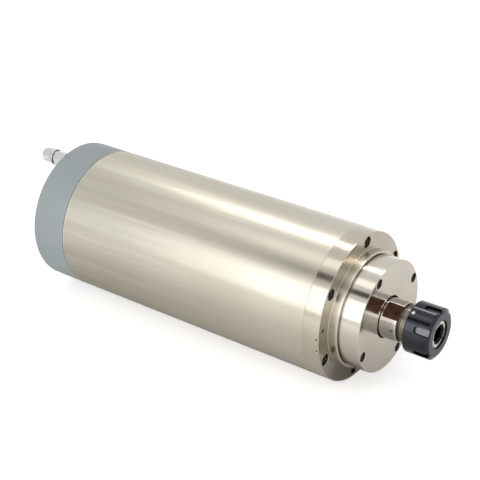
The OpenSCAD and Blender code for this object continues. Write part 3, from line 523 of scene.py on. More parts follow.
def turned(name, outline, steps=128):
    """A lathe-turned piece: its half outline, spun round the X axis."""
    piece = one_point(name, outline[0][0], 0, outline[0][1])
    draw_outline(outline)
    bpy.ops.mesh.select_all(action="SELECT")
    bpy.ops.mesh.spin(steps=steps, angle=math.tau, center=(0, 0, 0), axis=(1, 0, 0))
    bpy.ops.mesh.select_all(action="SELECT")
    bpy.ops.mesh.remove_doubles(threshold=0.002 * MM)
    bpy.ops.mesh.normals_make_consistent(inside=False)
    stop_editing()
    return piece


def corner(x, r, size, start, end, steps=5):
    """Points of a rounded corner about (x, r), between two angles from +X towards outwards."""
    angles = [math.radians(start + (end - start) * i / steps) for i in range(steps + 1)]
    return [(x + size * math.cos(a), r + size * math.sin(a)) for a in angles]


def hex_bar(name, x0, x1, width):
    """A six-sided bar along the X axis, as wide as that across its flats."""
    bpy.ops.object.select_all(action="DESELECT")
    bpy.ops.mesh.primitive_cylinder_add(
        vertices=6, radius=width * MM / math.sqrt(3), depth=(x1 - x0) * MM,
        location=((x0 + x1) / 2 * MM, 0, 0), rotation=(0, math.pi / 2, 0))
    bar = bpy.context.object
    bar.name = name
    bpy.ops.object.transform_apply(location=True, rotation=True, scale=True)
    return bar


def block(name, corner_low, corner_high):
    """A square block between two corners."""
    sizes = [(b - a) * MM for a, b in zip(corner_low, corner_high)]
    middle = [(a + b) / 2 * MM for a, b in zip(corner_low, corner_high)]
    bpy.ops.object.select_all(action="DESELECT")
    bpy.ops.mesh.primitive_cube_add(size=1, location=middle, scale=sizes)
    made = bpy.context.object
    made.name = name
    bpy.ops.object.transform_apply(location=True, rotation=True, scale=True)
    return made


def moved(piece, reach, turn):
    """Moves a piece outwards along Y, then turns it round the spindle's axis from +Y towards +Z."""
    start_editing(piece)
    bpy.ops.transform.translate(value=(0, reach * MM, 0))
    bpy.ops.transform.rotate(value=-math.radians(turn), orient_axis="X", center_override=(0, 0, 0))
    stop_editing()
    return piece


def pointed_out(piece, x):
    """Turns a piece drawn along X to point outwards along Y, and sets it at x along the spindle."""
    start_editing(piece)
    bpy.ops.transform.rotate(value=-math.pi / 2, orient_axis="Z", center_override=(0, 0, 0))
    bpy.ops.transform.translate(value=(x * MM, 0, 0))
    stop_editing()
    return piece


def copied(piece):
    """A copy of a piece, with its own mesh."""
    pick_only(piece)
    bpy.ops.object.duplicate(linked=False)
    return bpy.context.object


def joined(pieces):
    """Joins pieces into the first of them."""
    bpy.ops.object.select_all(action="DESELECT")
    for piece in pieces:
        piece.select_set(True)
    bpy.context.view_layer.objects.active = pieces[0]
    bpy.ops.object.join()
    return pieces[0]


def ring_of(piece, count, turn, reach):
    """Copies of a piece, evenly spaced on a circle round the spindle's axis, joined into one."""
    others = [moved(copied(piece), reach, turn + 360 * i / count) for i in range(1, count)]
    return joined([moved(piece, reach, turn)] + others)


def combine(piece, tool, operation):
    """Cuts a tool out of a piece, adds it or keeps what they share, and removes the tool."""
    pick_only(piece)
    bpy.ops.object.modifier_add(type="BOOLEAN")
    boolean = piece.modifiers[-1]
    boolean.operation = operation
    boolean.solver = "EXACT"
    boolean.object = tool
    bpy.ops.object.modifier_apply(modifier=boolean.name)
    pick_only(tool)
    bpy.ops.object.delete()
    return piece


def cut_out(piece, *tools):
    """Cuts tools out of a piece, one after another."""
    for tool in tools:
        combine(piece, tool, "DIFFERENCE")
    return piece


def drill(x, depth, hole_r, flare=0.25):
    """A drill along X for a hole from the face at x towards -X, with a broken edge."""
    return turned("drill", [
        (x - depth, 0), (x - depth, hole_r), (x - flare, hole_r), (x + flare, hole_r + 2 * flare),
        (x + flare, 0)], 40)


def soften_edges(piece, width, angle):
    """Rounds the edges that are sharper than an angle."""
    pick_only(piece)
    bpy.ops.object.modifier_add(type="BEVEL")
    bevel = piece.modifiers[-1]
    bevel.width = width * MM
    bevel.segments = 2
    bevel.limit_method = "ANGLE"
    bevel.angle_limit = math.radians(angle)
    bevel.use_clamp_overlap = False
    bevel.harden_normals = False
    bevel.miter_outer = "MITER_ARC"
    bpy.ops.object.modifier_apply(modifier=bevel.name)
    return piece


def screw_thread(name, x0, x1, root, crest, pitch, steps=72):
    """The ridge of a screw thread from x0 to x1, swept by a Screw modifier and closed at its ends."""
    piece = one_point(name, x0, 0, root)
    draw_outline([(x0, root), (x0 + 0.42 * pitch, crest), (x0 + 0.54 * pitch, crest),
                  (x0 + 0.96 * pitch, root), (x0, root)])
    bpy.ops.mesh.select_all(action="SELECT")
    bpy.ops.mesh.remove_doubles(threshold=0.002 * MM)
    stop_editing()
    pick_only(piece)
    bpy.ops.object.modifier_add(type="SCREW")
    sweep = piece.modifiers[-1]
    sweep.axis = "X"
    sweep.iterations = max(1, round((x1 - x0) / pitch) - 1)
    sweep.screw_offset = pitch * MM
    sweep.steps = steps
    sweep.render_steps = steps
    bpy.ops.object.modifier_apply(modifier=sweep.name)
    start_editing(piece)
    bpy.ops.mesh.fill_holes(sides=4)
    bpy.ops.mesh.select_all(action="SELECT")
    bpy.ops.mesh.normals_make_consistent(inside=False)
    stop_editing()
    return piece


def outward(middle):
    """The direction straight out from the spindle's axis at a place."""
    return Vector((0, middle.y, middle.z)).normalized()


def radius(middle):
    """How far a place lies from the spindle's axis."""
    return math.hypot(middle.y, middle.z)


def turned_way(turn):
    """The direction out from the axis at that turn, in degrees from +Y towards +Z."""
    return Vector((0, math.cos(math.radians(turn)), math.sin(math.radians(turn))))


def paint_faces(piece, finish, chosen):
    """Gives another finish to the faces that a test picks by their middle, in mm, and their normal."""
    piece.data.materials.append(finish)
    last = len(piece.data.materials) - 1
    for face in piece.data.polygons:
        if chosen(face.center / MM, face.normal):
            face.material_index = last


def inset_faces(piece, width, finish, chosen):
    """Insets the faces that a test picks, and gives the part inside the rim another finish."""
    piece.data.materials.append(finish)
    start_editing(piece)
    bpy.ops.mesh.select_mode(type="FACE")
    bpy.ops.mesh.select_all(action="DESELECT")
    stop_editing()
    for face in piece.data.polygons:
        face.select = chosen(face.center / MM, face.normal)
    bpy.ops.object.mode_set(mode="EDIT")
    bpy.ops.mesh.inset(thickness=width * MM, depth=0)
    piece.active_material_index = len(piece.data.materials) - 1
    bpy.ops.object.material_slot_assign()
    bpy.ops.mesh.select_mode(type="VERT")
    stop_editing()


def dress(piece, body, slot, finish, *replaced, angle=30):
    """Finishes a piece: its material, smooth shading, the body it rides on and the nodes it replaces."""
    if piece.data.materials and piece.data.materials[0] is None:
        piece.data.materials.clear()
    if piece.data.materials:
        piece.data.materials[0] = finish
    else:
        piece.data.materials.append(finish)
    pick_only(piece)
    bpy.ops.object.shade_smooth_by_angle(angle=math.radians(angle))
    bpy.ops.object.modifier_add(type="WEIGHTED_NORMAL")
    piece.modifiers[-1].keep_sharp = True
    bpy.ops.object.modifier_apply(modifier=piece.modifiers[-1].name)
    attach(piece, body)
    if replaced:
        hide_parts(*replaced)
    return piece


# Pieces that are seen

def cap_screw(name, top, thread_r, head_r, head_h, hex_w, length, way=1):
    """A socket head cap screw on the X axis, its head's top at x = top; way is -1 where it faces -X."""
    edge = 0.4
    screw = turned(name, [
        (top, 0), (top, head_r - edge),
        *corner(top - edge * way, head_r - edge, edge, 90 - 90 * way, 90, 3),
        (top - head_h * way, head_r), (top - head_h * way, thread_r),
        (top - (head_h + length - 0.6) * way, thread_r), (top - (head_h + length) * way, thread_r - 0.6),
        (top - (head_h + length) * way, 0)], 48)
    deep = sorted((top - head_h * 0.55 * way, top + way))
    cut_out(screw, hex_bar("socket", *deep, hex_w))
    countersink = turned("countersink", [
        (top - 0.35 * way, 0), (top - 0.35 * way, hex_w / 2), (top + 0.4 * way, hex_w / 2 + 0.75),
        (top + 0.4 * way, 0)], 48)
    return cut_out(screw, countersink)


def make_front_housing():
    """The flange ring, with the register that centres the spindle in its clamp or machine."""
    outline = [
        (HOUSING_REAR, BEARING_LIP_R), (HOUSING_REAR, BOSS_R), (BEARING_REAR, BOSS_R),
        (BEARING_REAR, SHELL_R), (TUBE_FRONT, SHELL_R), (TUBE_FRONT, BODY_R - 0.25),
        (TUBE_FRONT + 0.25, BODY_R), *corner(-EDGE, BODY_R - EDGE, EDGE, 90, 0),
        *corner(ROOT_ROUND, PILOT_R + ROOT_ROUND, ROOT_ROUND, 180, 270, 4),
        *corner(PILOT_LEN - LIP_ROUND, PILOT_R - LIP_ROUND, LIP_ROUND, 90, 0),
        (PILOT_LEN, BEARING_SEAT_R), (BEARING_REAR, BEARING_SEAT_R), (BEARING_REAR, BEARING_LIP_R),
        (HOUSING_REAR, BEARING_LIP_R)]
    housing = turned("front_flange", outline, 160)
    pockets = ring_of(drill(0, FLANGE_SINK + M5_HEAD_H, M5_HEAD_R + HEAD_ROOM),
                      FLANGE_SCREWS, FLANGE_TURN, FLANGE_PCR)
    screw_holes = ring_of(drill(-1, -TUBE_FRONT, M5_R + SCREW_ROOM),
                          FLANGE_SCREWS, FLANGE_TURN, FLANGE_PCR)
    jack_holes = ring_of(drill(0, JACK_DEPTH, JACK_R, 0.2), 2, JACK_TURN, FLANGE_PCR)
    cover_holes = ring_of(drill(PILOT_LEN, TAP_DEPTH, M4_R + 0.04), COVER_SCREWS, COVER_TURN, COVER_PCR)
    cut_out(housing, pockets, screw_holes, jack_holes, cover_holes)
    for turn in GRUB_TURNS:
        grub_hole = turned("grub hole", [
            (-5, 0), (-5, GRUB_R), (-0.3, GRUB_R), (0.3, GRUB_R + 0.6), (0.3, 0)], 24)
        cut_out(housing, moved(pointed_out(grub_hole, GRUB_X), BODY_R, turn))
    housing.data.materials.append(FLANGE_STEEL)
    # The flange's front face gets the darker copy, as painted shade
    paint_faces(housing, SHADED_FACE_STEEL, lambda middle, normal: normal.x > 0.9 and abs(middle.x) < 0.05)
    paint_faces(housing, PILOT_STEEL, lambda middle, normal: (
        ROOT_ROUND < middle.x < PILOT_LEN - LIP_ROUND and abs(radius(middle) - PILOT_R) < 0.1))
    dress(housing, "housing", "turned_steel", FLANGE_STEEL, "front_housing")


def make_front_cover():
    """The labyrinth cover over the front bearings, with four sunk screws."""
    outline = [
        (COVER_REAR, NUT_ROOM_R), (COVER_REAR, SPIGOT_R), (SEAL_REAR, SPIGOT_R),
        (SEAL_REAR, SEAL_FLOOR_R), (SEAL_FRONT, SEAL_FLOOR_R), (SEAL_FRONT, SPIGOT_R),
        (PILOT_LEN, SPIGOT_R),
        (PILOT_LEN, COVER_R - NECK_DEPTH), (PILOT_LEN + NECK_W, COVER_R - NECK_DEPTH),
        *corner(PILOT_LEN + NECK_W + 0.15, COVER_R - 0.15, 0.15, 180, 90, 2),
        *corner(COVER_FRONT - EDGE, COVER_R - EDGE, EDGE, 90, 0),
        (COVER_FRONT, COVER_BORE_R + 0.3), (COVER_FRONT - 0.3, COVER_BORE_R),
        (LABYRINTH_FRONT, COVER_BORE_R), (LABYRINTH_FRONT, LABYRINTH_R),
        (LABYRINTH_REAR, LABYRINTH_R), (LABYRINTH_REAR, COVER_BORE_R),
        (NUT_ROOM_FRONT, COVER_BORE_R), (NUT_ROOM_FRONT, NUT_ROOM_R), (COVER_REAR, NUT_ROOM_R)]
    cover = turned("labyrinth_cover", outline, 160)
    pockets = ring_of(drill(COVER_FRONT, COVER_SINK + M4_HEAD_H, M4_HEAD_R + HEAD_ROOM),
                      COVER_SCREWS, COVER_TURN, COVER_PCR)
    screw_holes = ring_of(drill(COVER_FRONT - 1, COVER_FRONT - PILOT_LEN, M4_R + SCREW_ROOM),
                          COVER_SCREWS, COVER_TURN, COVER_PCR)
    cut_out(cover, pockets, screw_holes)
    dress(cover, "housing", "turned_steel", COVER_STEEL, "front_cover")


def make_tube():
    """The ground outer tube, with a narrow painted highlight on its edge at the cap."""
    inside = BODY_R - TUBE_WALL
    tube = turned("ground_tube", [
        (TUBE_REAR, inside), (TUBE_REAR, BODY_R - 0.2), (TUBE_REAR + 0.2, BODY_R),
        (TUBE_REAR + HIGHLIGHT_BAND_W, BODY_R), (TUBE_FRONT - 0.25, BODY_R), (TUBE_FRONT, BODY_R - 0.25),
        (TUBE_FRONT, inside), (TUBE_REAR, inside)], 200)
    tube.data.materials.append(TUBE_STEEL)
    # The band at the rear edge is painted pale: a painted highlight
    paint_faces(tube, PAINTED_HIGHLIGHT_STEEL, lambda middle, normal: middle.x < TUBE_REAR + HIGHLIGHT_BAND_W)
    dress(tube, "housing", "ground_stainless", TUBE_STEEL, "outer_tube")


def make_rear_cap():
    """The painted rear cap: a cup with bosses inside, pads for the fittings and a seam at the tube."""
    cap = turned("rear_cup", [
        (TUBE_REAR, CAP_WALL_R), (TUBE_REAR, BODY_R - SEAM_DEPTH),
        (TUBE_REAR - SEAM_W, BODY_R - SEAM_DEPTH),
        *corner(TUBE_REAR - SEAM_W - 0.3, BODY_R - 0.3, 0.3, 0, 90, 3),
        *corner(CAP_REAR + CAP_ROUND, BODY_R - CAP_ROUND, CAP_ROUND, 90, 180, 8),
        (CAP_REAR, 0), (CAP_INSIDE, 0), (CAP_INSIDE, CAP_WALL_R), (TUBE_REAR, CAP_WALL_R)], 200)
    pad_round = 0.4
    pad = turned("pad", [
        (CAP_REAR + 2, 0), (CAP_REAR + 2, PAD_R), (CAP_REAR - PAD_H + pad_round, PAD_R),
        *corner(CAP_REAR - PAD_H + pad_round, PAD_R - pad_round, pad_round, 90, 180, 3),
        (CAP_REAR - PAD_H, 0)], 64)
    boss = turned("boss", [
        (CAP_INSIDE - 1, 0), (CAP_INSIDE - 1, PORT_BOSS_R), (TUBE_REAR, PORT_BOSS_R), (TUBE_REAR, 0)], 48)
    post = turned("post", [
        (CAP_INSIDE - 1, 0), (CAP_INSIDE - 1, SCREW_POST_R), (TUBE_REAR, SCREW_POST_R),
        (TUBE_REAR, 0)], 48)
    for added, count, turn, reach in ((pad, 2, PORT_TURN, PORT_R), (boss, 2, PORT_TURN, PORT_R),
                                      (post, CAP_SCREWS, CAP_SCREW_TURN, CAP_PCR)):
        combine(cap, ring_of(added, count, turn, reach), "UNION")

    socket_r = SHANK_R + 0.04
    socket = turned("socket", [
        (CAP_REAR + SHANK_LEN + 1, 0), (CAP_REAR + SHANK_LEN + 1, socket_r), (CAP_REAR - 3, socket_r),
        (CAP_REAR - 3, 0)], 48)
    water = turned("water", [
        (CAP_REAR, 0), (CAP_REAR, WATER_R), (TUBE_REAR + 1, WATER_R), (TUBE_REAR + 1, 0)], 32)
    pocket_r = M4_HEAD_R + HEAD_ROOM
    pocket_floor = CAP_REAR + M4_HEAD_H + CAP_SINK
    pocket = turned("pocket", [
        (pocket_floor, 0), (pocket_floor, pocket_r), (CAP_REAR + 0.3, pocket_r),
        (CAP_REAR - 0.3, pocket_r + 0.6), (CAP_REAR - 0.3, 0)], 40)
    screw_hole_r = M4_R + SCREW_ROOM
    screw_hole = turned("screw hole", [
        (CAP_REAR, 0), (CAP_REAR, screw_hole_r), (TUBE_REAR + 1, screw_hole_r), (TUBE_REAR + 1, 0)], 32)
    cut_out(cap, ring_of(socket, 2, PORT_TURN, PORT_R), ring_of(water, 2, PORT_TURN, PORT_R),
            ring_of(pocket, CAP_SCREWS, CAP_SCREW_TURN, CAP_PCR),
            ring_of(screw_hole, CAP_SCREWS, CAP_SCREW_TURN, CAP_PCR))
    opening = turned("opening", [
        (CAP_INSIDE + 1, 0), (CAP_INSIDE + 1, CONNECTOR_HOLE_R), (CAP_REAR - 1, CONNECTOR_HOLE_R),
        (CAP_REAR - 1, 0)], 64)
    cut_out(cap, moved(opening, CONNECTOR_R, CONNECTOR_TURN))
    plug_floor = -0.35
    plug_ring = turned("plug ring", [
        (plug_floor, PLUG_R - 0.5), (plug_floor, PLUG_R), (1, PLUG_R + 0.6), (1, PLUG_R - 0.9),
        (plug_floor, PLUG_R - 0.5)], 32)
    cut_out(cap, moved(pointed_out(plug_ring, PLUG_X), BODY_R, PLUG_TURN))
    cap.data.materials.append(CAP_PAINT)
    # The seam next to the tube is painted near-black: a painted shadow
    paint_faces(cap, SHADOW_PAINT, lambda middle, normal: middle.x > TUBE_REAR - SEAM_W - 0.01)
    dress(cap, "housing", "grey_paint", CAP_PAINT, "rear_cap")


def make_screws():
    """The socket head cap screws of the flange, the cover and the rear cap."""
    flange_screw = cap_screw(
        "flange_cap_screws", -FLANGE_SINK, M5_R, M5_HEAD_R, M5_HEAD_H, hex_w=4, length=16.5)
    dress(ring_of(flange_screw, FLANGE_SCREWS, FLANGE_TURN, FLANGE_PCR), "housing", "black_screw",
          SCREW_STEEL, "flange_screws")
    cover_screw = cap_screw(
        "cover_cap_screws", COVER_FRONT - COVER_SINK, M4_R, M4_HEAD_R, M4_HEAD_H, hex_w=3, length=20)
    dress(ring_of(cover_screw, COVER_SCREWS, COVER_TURN, COVER_PCR), "housing", "black_screw",
          SCREW_STEEL, "cover_screws")
    rear_screw = cap_screw(
        "rear_cap_cap_screws", CAP_REAR + CAP_SINK, M4_R, M4_HEAD_R, M4_HEAD_H, hex_w=3, length=38, way=-1)
    dress(ring_of(rear_screw, CAP_SCREWS, CAP_SCREW_TURN, CAP_PCR), "housing", "black_screw",
          SCREW_STEEL, "rear_cap_screws")


def make_shaft():
    """The spindle nose with its two flats and collet taper, and the journals behind it."""
    outline = [
        (SHAFT_REAR, 0), (SHAFT_REAR, REAR_JOURNAL_R - 1.48), (SHAFT_REAR + 1, REAR_JOURNAL_R),
        (REAR_JOURNAL_FRONT, REAR_JOURNAL_R), (REAR_JOURNAL_FRONT, REAR_SHOULDER_R),
        (ROTOR_SEAT_REAR, REAR_SHOULDER_R), (ROTOR_SEAT_REAR, ROTOR_SEAT_R),
        (ROTOR_SEAT_FRONT, ROTOR_SEAT_R), (ROTOR_SEAT_FRONT, FRONT_SHOULDER_R),
        (BEARING_REAR, FRONT_SHOULDER_R), (BEARING_REAR, FRONT_JOURNAL_R),
        (FRONT_JOURNAL_END, FRONT_JOURNAL_R), (FRONT_JOURNAL_END, NOSE_R),
        (FLATS_FRONT - 0.3, NOSE_R), (FLATS_FRONT, NOSE_R - 0.3), (FLATS_FRONT, RUNOUT_R),
        (THREAD_REAR, RUNOUT_R), (THREAD_REAR + 0.3, THREAD_ROOT_R), (SHAFT_FRONT - 0.5, THREAD_ROOT_R),
        (SHAFT_FRONT, THREAD_ROOT_R - 0.5), (SHAFT_FRONT, TAPER_FRONT_R),
        (COLLET_REAR, TAPER_REAR_R), (COLLET_REAR, TAPER_REAR_R - 0.2),
        (COLLET_REAR - 30, TAPER_REAR_R - 0.2), (COLLET_REAR - 30, 0)]
    shaft = turned("spindle_nose", outline, 160)
    for turn in (FLATS_TURN, FLATS_TURN + 180):
        flat = block("flat", (FLATS_REAR, FLATS_W / 2, -NOSE_R), (FLATS_FRONT + 1, FLATS_W, NOSE_R))
        cut_out(shaft, moved(flat, 0, turn))
        for lean in (-FLAT_EDGE_LEAN, FLAT_EDGE_LEAN):
            edge = block("flat edge", (FLATS_REAR, FLAT_EDGE_W / 2, -NOSE_R),
                         (FLATS_FRONT + 1, FLATS_W, NOSE_R))
            cut_out(shaft, moved(edge, 0, turn + lean))
    shaft.data.materials.append(SHAFT_STEEL)
    # The faces along the flats' edges are painted pale: painted highlights
    paint_faces(shaft, PAINTED_HIGHLIGHT_STEEL, lambda middle, normal: (
        FLATS_REAR < middle.x < FLATS_FRONT and radius(middle) > RUNOUT_R + 0.1 and abs(normal.x) < 0.8))
    paint_faces(shaft, SHAFT_STEEL, lambda middle, normal: (
        FLATS_REAR < middle.x < FLATS_FRONT - 0.3 and radius(middle) > NOSE_R - 0.05))
    flat_ways = [turned_way(FLATS_TURN), turned_way(FLATS_TURN + 180)]
    paint_faces(shaft, FLAT_STEEL, lambda middle, normal: any(
        normal.dot(way) > 0.99 and abs(middle.dot(way) - FLATS_W / 2) < 0.05 for way in flat_ways))
    # Painted shade from the front of the flats to the shaft's front end: groove, thread root and chamfer
    paint_faces(shaft, RECESS_SHADE_STEEL, lambda middle, normal: (
        FLATS_FRONT - 0.05 < middle.x < SHAFT_FRONT - 0.1 and radius(middle) > TAPER_FRONT_R + 0.2))
    dress(shaft, "shaft", "shaft_steel", SHAFT_STEEL, "shaft")
    thread = screw_thread("spindle_nose_thread", THREAD_REAR + 0.1, SHAFT_FRONT - 0.4,
                          THREAD_ROOT_R - 0.05, THREAD_R, THREAD_PITCH)
    dress(thread, "shaft", "shaft_steel", THREAD_STEEL, angle=20)


def slot_cutter():
    """A round-ended cutter that mills one spanner slot in from the nut's front."""
    bpy.ops.object.select_all(action="DESELECT")
    start = NUT_FRONT - SLOT_LEN + SLOT_W / 2
    height = 4
    middle = NUT_R - SLOT_DEPTH + height / 2
    bpy.ops.mesh.primitive_cylinder_add(
        vertices=32, radius=SLOT_W / 2 * MM, depth=height * MM, location=(start * MM, middle * MM, 0),
        rotation=(math.pi / 2, 0, 0))
    cutter = bpy.context.object
    bpy.ops.object.transform_apply(location=True, rotation=True, scale=True)
    start_editing(cutter)
    bpy.ops.mesh.select_all(action="DESELECT")
    stop_editing()
    for vertex in cutter.data.vertices:
        vertex.select = vertex.co.x > (start - 0.01) * MM
    bpy.ops.object.mode_set(mode="EDIT")
    bpy.ops.transform.translate(value=(SLOT_LEN * MM, 0, 0))
    stop_editing()
    return cutter


def make_collet_nut():
    """The clamping nut, with its spanner slots and the ring that holds the collet's groove."""
    ring_r = COLLET_R - 1.4
    outline = [
        (NUT_REAR, NUT_BORE_R), *corner(NUT_REAR + 1, NUT_R - 1, 1, 180, 90),
        *corner(NUT_FRONT - 2.1, NUT_R - 0.5, 0.5, 90, 45, 2),
        *corner(NUT_FRONT - 0.4, NUT_R - 3.3, 0.4, 45, 0, 2),
        (NUT_FRONT, COLLET_FACE_R + 0.9), (COLLET_FRONT + 0.1, COLLET_FACE_R + 0.15),
        (FACE_TAPER_REAR, COLLET_R + 0.07), (TAPER_FRONT + 2.55, COLLET_R + 0.07),
        (TAPER_FRONT + 2.55, ring_r), (TAPER_FRONT + 0.3, ring_r), (TAPER_FRONT + 0.3, NUT_BORE_R),
        (NUT_REAR, NUT_BORE_R)]
    nut = turned("collet_clamp_nut", outline, 144)
    cut_out(nut, ring_of(slot_cutter(), NUT_SLOTS, SLOT_TURN, 0))
    nut.data.materials.append(BLUED_STEEL)

    def slot_wall(middle, normal):
        """Faces that stand across a slot's sides and round end."""
        return (NUT_REAR + 4 < middle.x < NUT_FRONT - 0.5 and abs(normal.dot(outward(middle))) < 0.25
                and radius(middle) > NUT_R - SLOT_DEPTH - 0.1)

    def slot_floor(middle, normal):
        """Faces that look straight out from the bottom of a slot."""
        return (NUT_FRONT - SLOT_LEN < middle.x < NUT_FRONT - 0.5 and radius(middle) < NUT_R - 1.5
                and normal.dot(outward(middle)) > 0.98)

    # Painted shade: the nut's inward faces, slot walls and slot floors turn near-black
    paint_faces(nut, PAINTED_SHADE_STEEL, lambda middle, normal: (
        normal.dot(outward(middle)) < -0.2 or slot_wall(middle, normal) or slot_floor(middle, normal)))
    # The slot floors keep a rim of that painted shade round a lighter middle
    inset_faces(nut, SLOT_SHADE_RIM, SLOT_STEEL, slot_floor)
    soften_edges(nut, BROKEN_EDGE, 40)
    balance_drill = turned("balance drill", [(-1, 0), (-DOT_DEPTH, DOT_R), (2, DOT_R), (2, 0)], 32)
    cut_out(nut, moved(pointed_out(balance_drill, DOT_X), NUT_R, DOT_TURN))
    dot_way = turned_way(DOT_TURN)
    dot_middle = dot_way * (NUT_R - 0.5) + Vector((DOT_X, 0, 0))
    paint_faces(nut, DOT_STEEL, lambda middle, normal: (
        (middle - dot_middle).length < DOT_R + 0.1 and middle.dot(dot_way) < NUT_R - 0.25))
    dress(nut, "collet_nut", "blued_steel", BLUED_STEEL, "collet_nut", angle=32)


def make_collet():
    """The spring collet: a double taper, slit from both ends."""
    outline = [
        (COLLET_REAR, COLLET_BORE_R + 0.3), (COLLET_REAR, COLLET_REAR_R - 0.5),
        (COLLET_REAR + 0.5, COLLET_REAR_R), (TAPER_FRONT, COLLET_R - 0.25), (TAPER_FRONT, GROOVE_R),
        (TAPER_FRONT + 2.6, GROOVE_R), (TAPER_FRONT + 2.6, COLLET_R),
        (FACE_TAPER_REAR, COLLET_R), (COLLET_FRONT - 0.2, COLLET_FACE_R + 0.1),
        (COLLET_FRONT, COLLET_FACE_R - 0.15), (COLLET_FRONT, COLLET_BORE_R + 1.9),
        (COLLET_FRONT - 1.6, COLLET_BORE_R), (COLLET_REAR + 0.3, COLLET_BORE_R),
        (COLLET_REAR, COLLET_BORE_R + 0.3)]
    collet = turned("spring_collet", outline, 128)
    step = 360 / SLITS
    # The first row is slit from the front, and the second from the rear, half a step round
    for rear, front, turn in ((COLLET_REAR + 7, COLLET_FRONT + 1, 0),
                              (COLLET_REAR - 1, COLLET_FRONT - 6, step / 2)):
        slit = block("slit", (rear, 0, -SLIT_W / 2), (front, COLLET_R + 1, SLIT_W / 2))
        for i in range(1, SLITS):
            cut_out(collet, moved(copied(slit), 0, turn + step * i))
        cut_out(collet, moved(slit, 0, turn))
    collet.data.materials.append(COLLET_STEEL)
    # Painted shade: the collet's inward faces and slit walls turn near-black
    paint_faces(collet, PAINTED_SHADE_STEEL, lambda middle, normal: normal.dot(outward(middle)) < -0.2 or (
        abs(normal.x) < 0.3 and abs(normal.dot(outward(middle))) < 0.5))
    dress(collet, "collet", "spring_steel", COLLET_STEEL, "collet")


def out(reach):
    """The place on X that lies so far outwards from the cap's rear face."""
    return CAP_REAR - reach


def outwards(points):
    """An outline given by its reach from the cap's rear face, as places on X."""
    return [(out(x), r) for x, r in points]


def make_hose_fittings():
    """Two compression fittings for the cooling water, each with its own ferrule and hose nut."""
    body = turned("hose_fitting_bodies", outwards([
        (-SHANK_LEN, WATER_R), (-SHANK_LEN, SHANK_R), (HEX_END, SHANK_R), (HEX_END, FIT_ROOT_R),
        (FIT_END - 0.5, FIT_ROOT_R), (FIT_END, FIT_ROOT_R - 0.4), (FIT_END, HOSE_R),
        (FIT_END - HOSE_DEPTH, HOSE_R), (FIT_END - HOSE_DEPTH, WATER_R), (-SHANK_LEN, WATER_R)]), 64)
    wrench_hex = hex_bar("wrench hex", out(HEX_END), out(HEX_START), HEX_W)
    end_r, corner_r = HEX_W * 0.515, HEX_W * 0.58
    rounding = turned("hex corners", outwards([
        (HEX_START, 0), (HEX_START, end_r), (HEX_START + 0.9, corner_r), (HEX_END - 0.9, corner_r),
        (HEX_END, end_r), (HEX_END, 0)]), 72)
    combine(wrench_hex, rounding, "INTERSECT")
    bore_r = 4.5
    bore = turned("hex bore", outwards([
        (HEX_START - 1, 0), (HEX_START - 1, bore_r), (HEX_END + 1, bore_r), (HEX_END + 1, 0)]), 48)
    cut_out(wrench_hex, bore)
    soften_edges(wrench_hex, BROKEN_EDGE, 25)
    ridge = screw_thread("fitting thread", out(FIT_END - 0.6), out(HEX_END + 0.3), FIT_ROOT_R - 0.05,
                         FIT_THREAD_R, FIT_PITCH, 48)
    body = joined([body, wrench_hex, ridge])
    dress(ring_of(body, 2, PORT_TURN, PORT_R), "housing", "nickel_plate", NICKEL, "fitting_bodies")

    waist_r = HOSE_NUT_R - 0.5
    thread_bore_r = FIT_THREAD_R + 0.05
    hose_bore_r = HOSE_R + 0.35
    dome = [math.radians(8 * i) for i in range(9)]
    nut_outline = [
        (NUT_START, thread_bore_r), *corner(NUT_START + 0.4, HOSE_NUT_R + 0.4, 0.4, 180, 90, 3),
        *corner(NUT_START + 2.6, HOSE_NUT_R + 0.4, 0.4, 90, 0, 3), (NUT_START + 3, waist_r),
        (NUT_START + 3.8, waist_r), (NUT_START + 3.8, HOSE_NUT_R - 0.15), (NUT_START + 3.95, HOSE_NUT_R),
        *[(NUT_END - 4 * (1 - math.sin(a)), HOSE_NUT_R - 2.3 * (1 - math.cos(a))) for a in dome],
        (NUT_END, HOSE_NUT_R - 1.75), (NUT_END, hose_bore_r + 0.3), (NUT_END - 0.3, hose_bore_r),
        (26, hose_bore_r), (26, thread_bore_r), (NUT_START, thread_bore_r)]
    hose_nut = turned("inlet_clamp_nut", outwards(nut_outline), 72)
    groove_r = 0.35
    groove = turned("grip groove", outwards([
        (20.5, 0), (20.5, groove_r), (17.7, groove_r), (17.7, 0)]), 12)
    cut_out(hose_nut, ring_of(groove, GRIP_GROOVES, 0, HOSE_NUT_R + 0.85))
    twin = moved(copied(hose_nut), PORT_R, PORT_TURN + 180)
    twin.name = "outlet_clamp_nut"
    dress(moved(hose_nut, PORT_R, PORT_TURN), "inlet_hose_nut", "nickel_plate", NICKEL, "inlet_hose_nut")
    dress(twin, "outlet_hose_nut", "nickel_plate", NICKEL, "outlet_hose_nut")


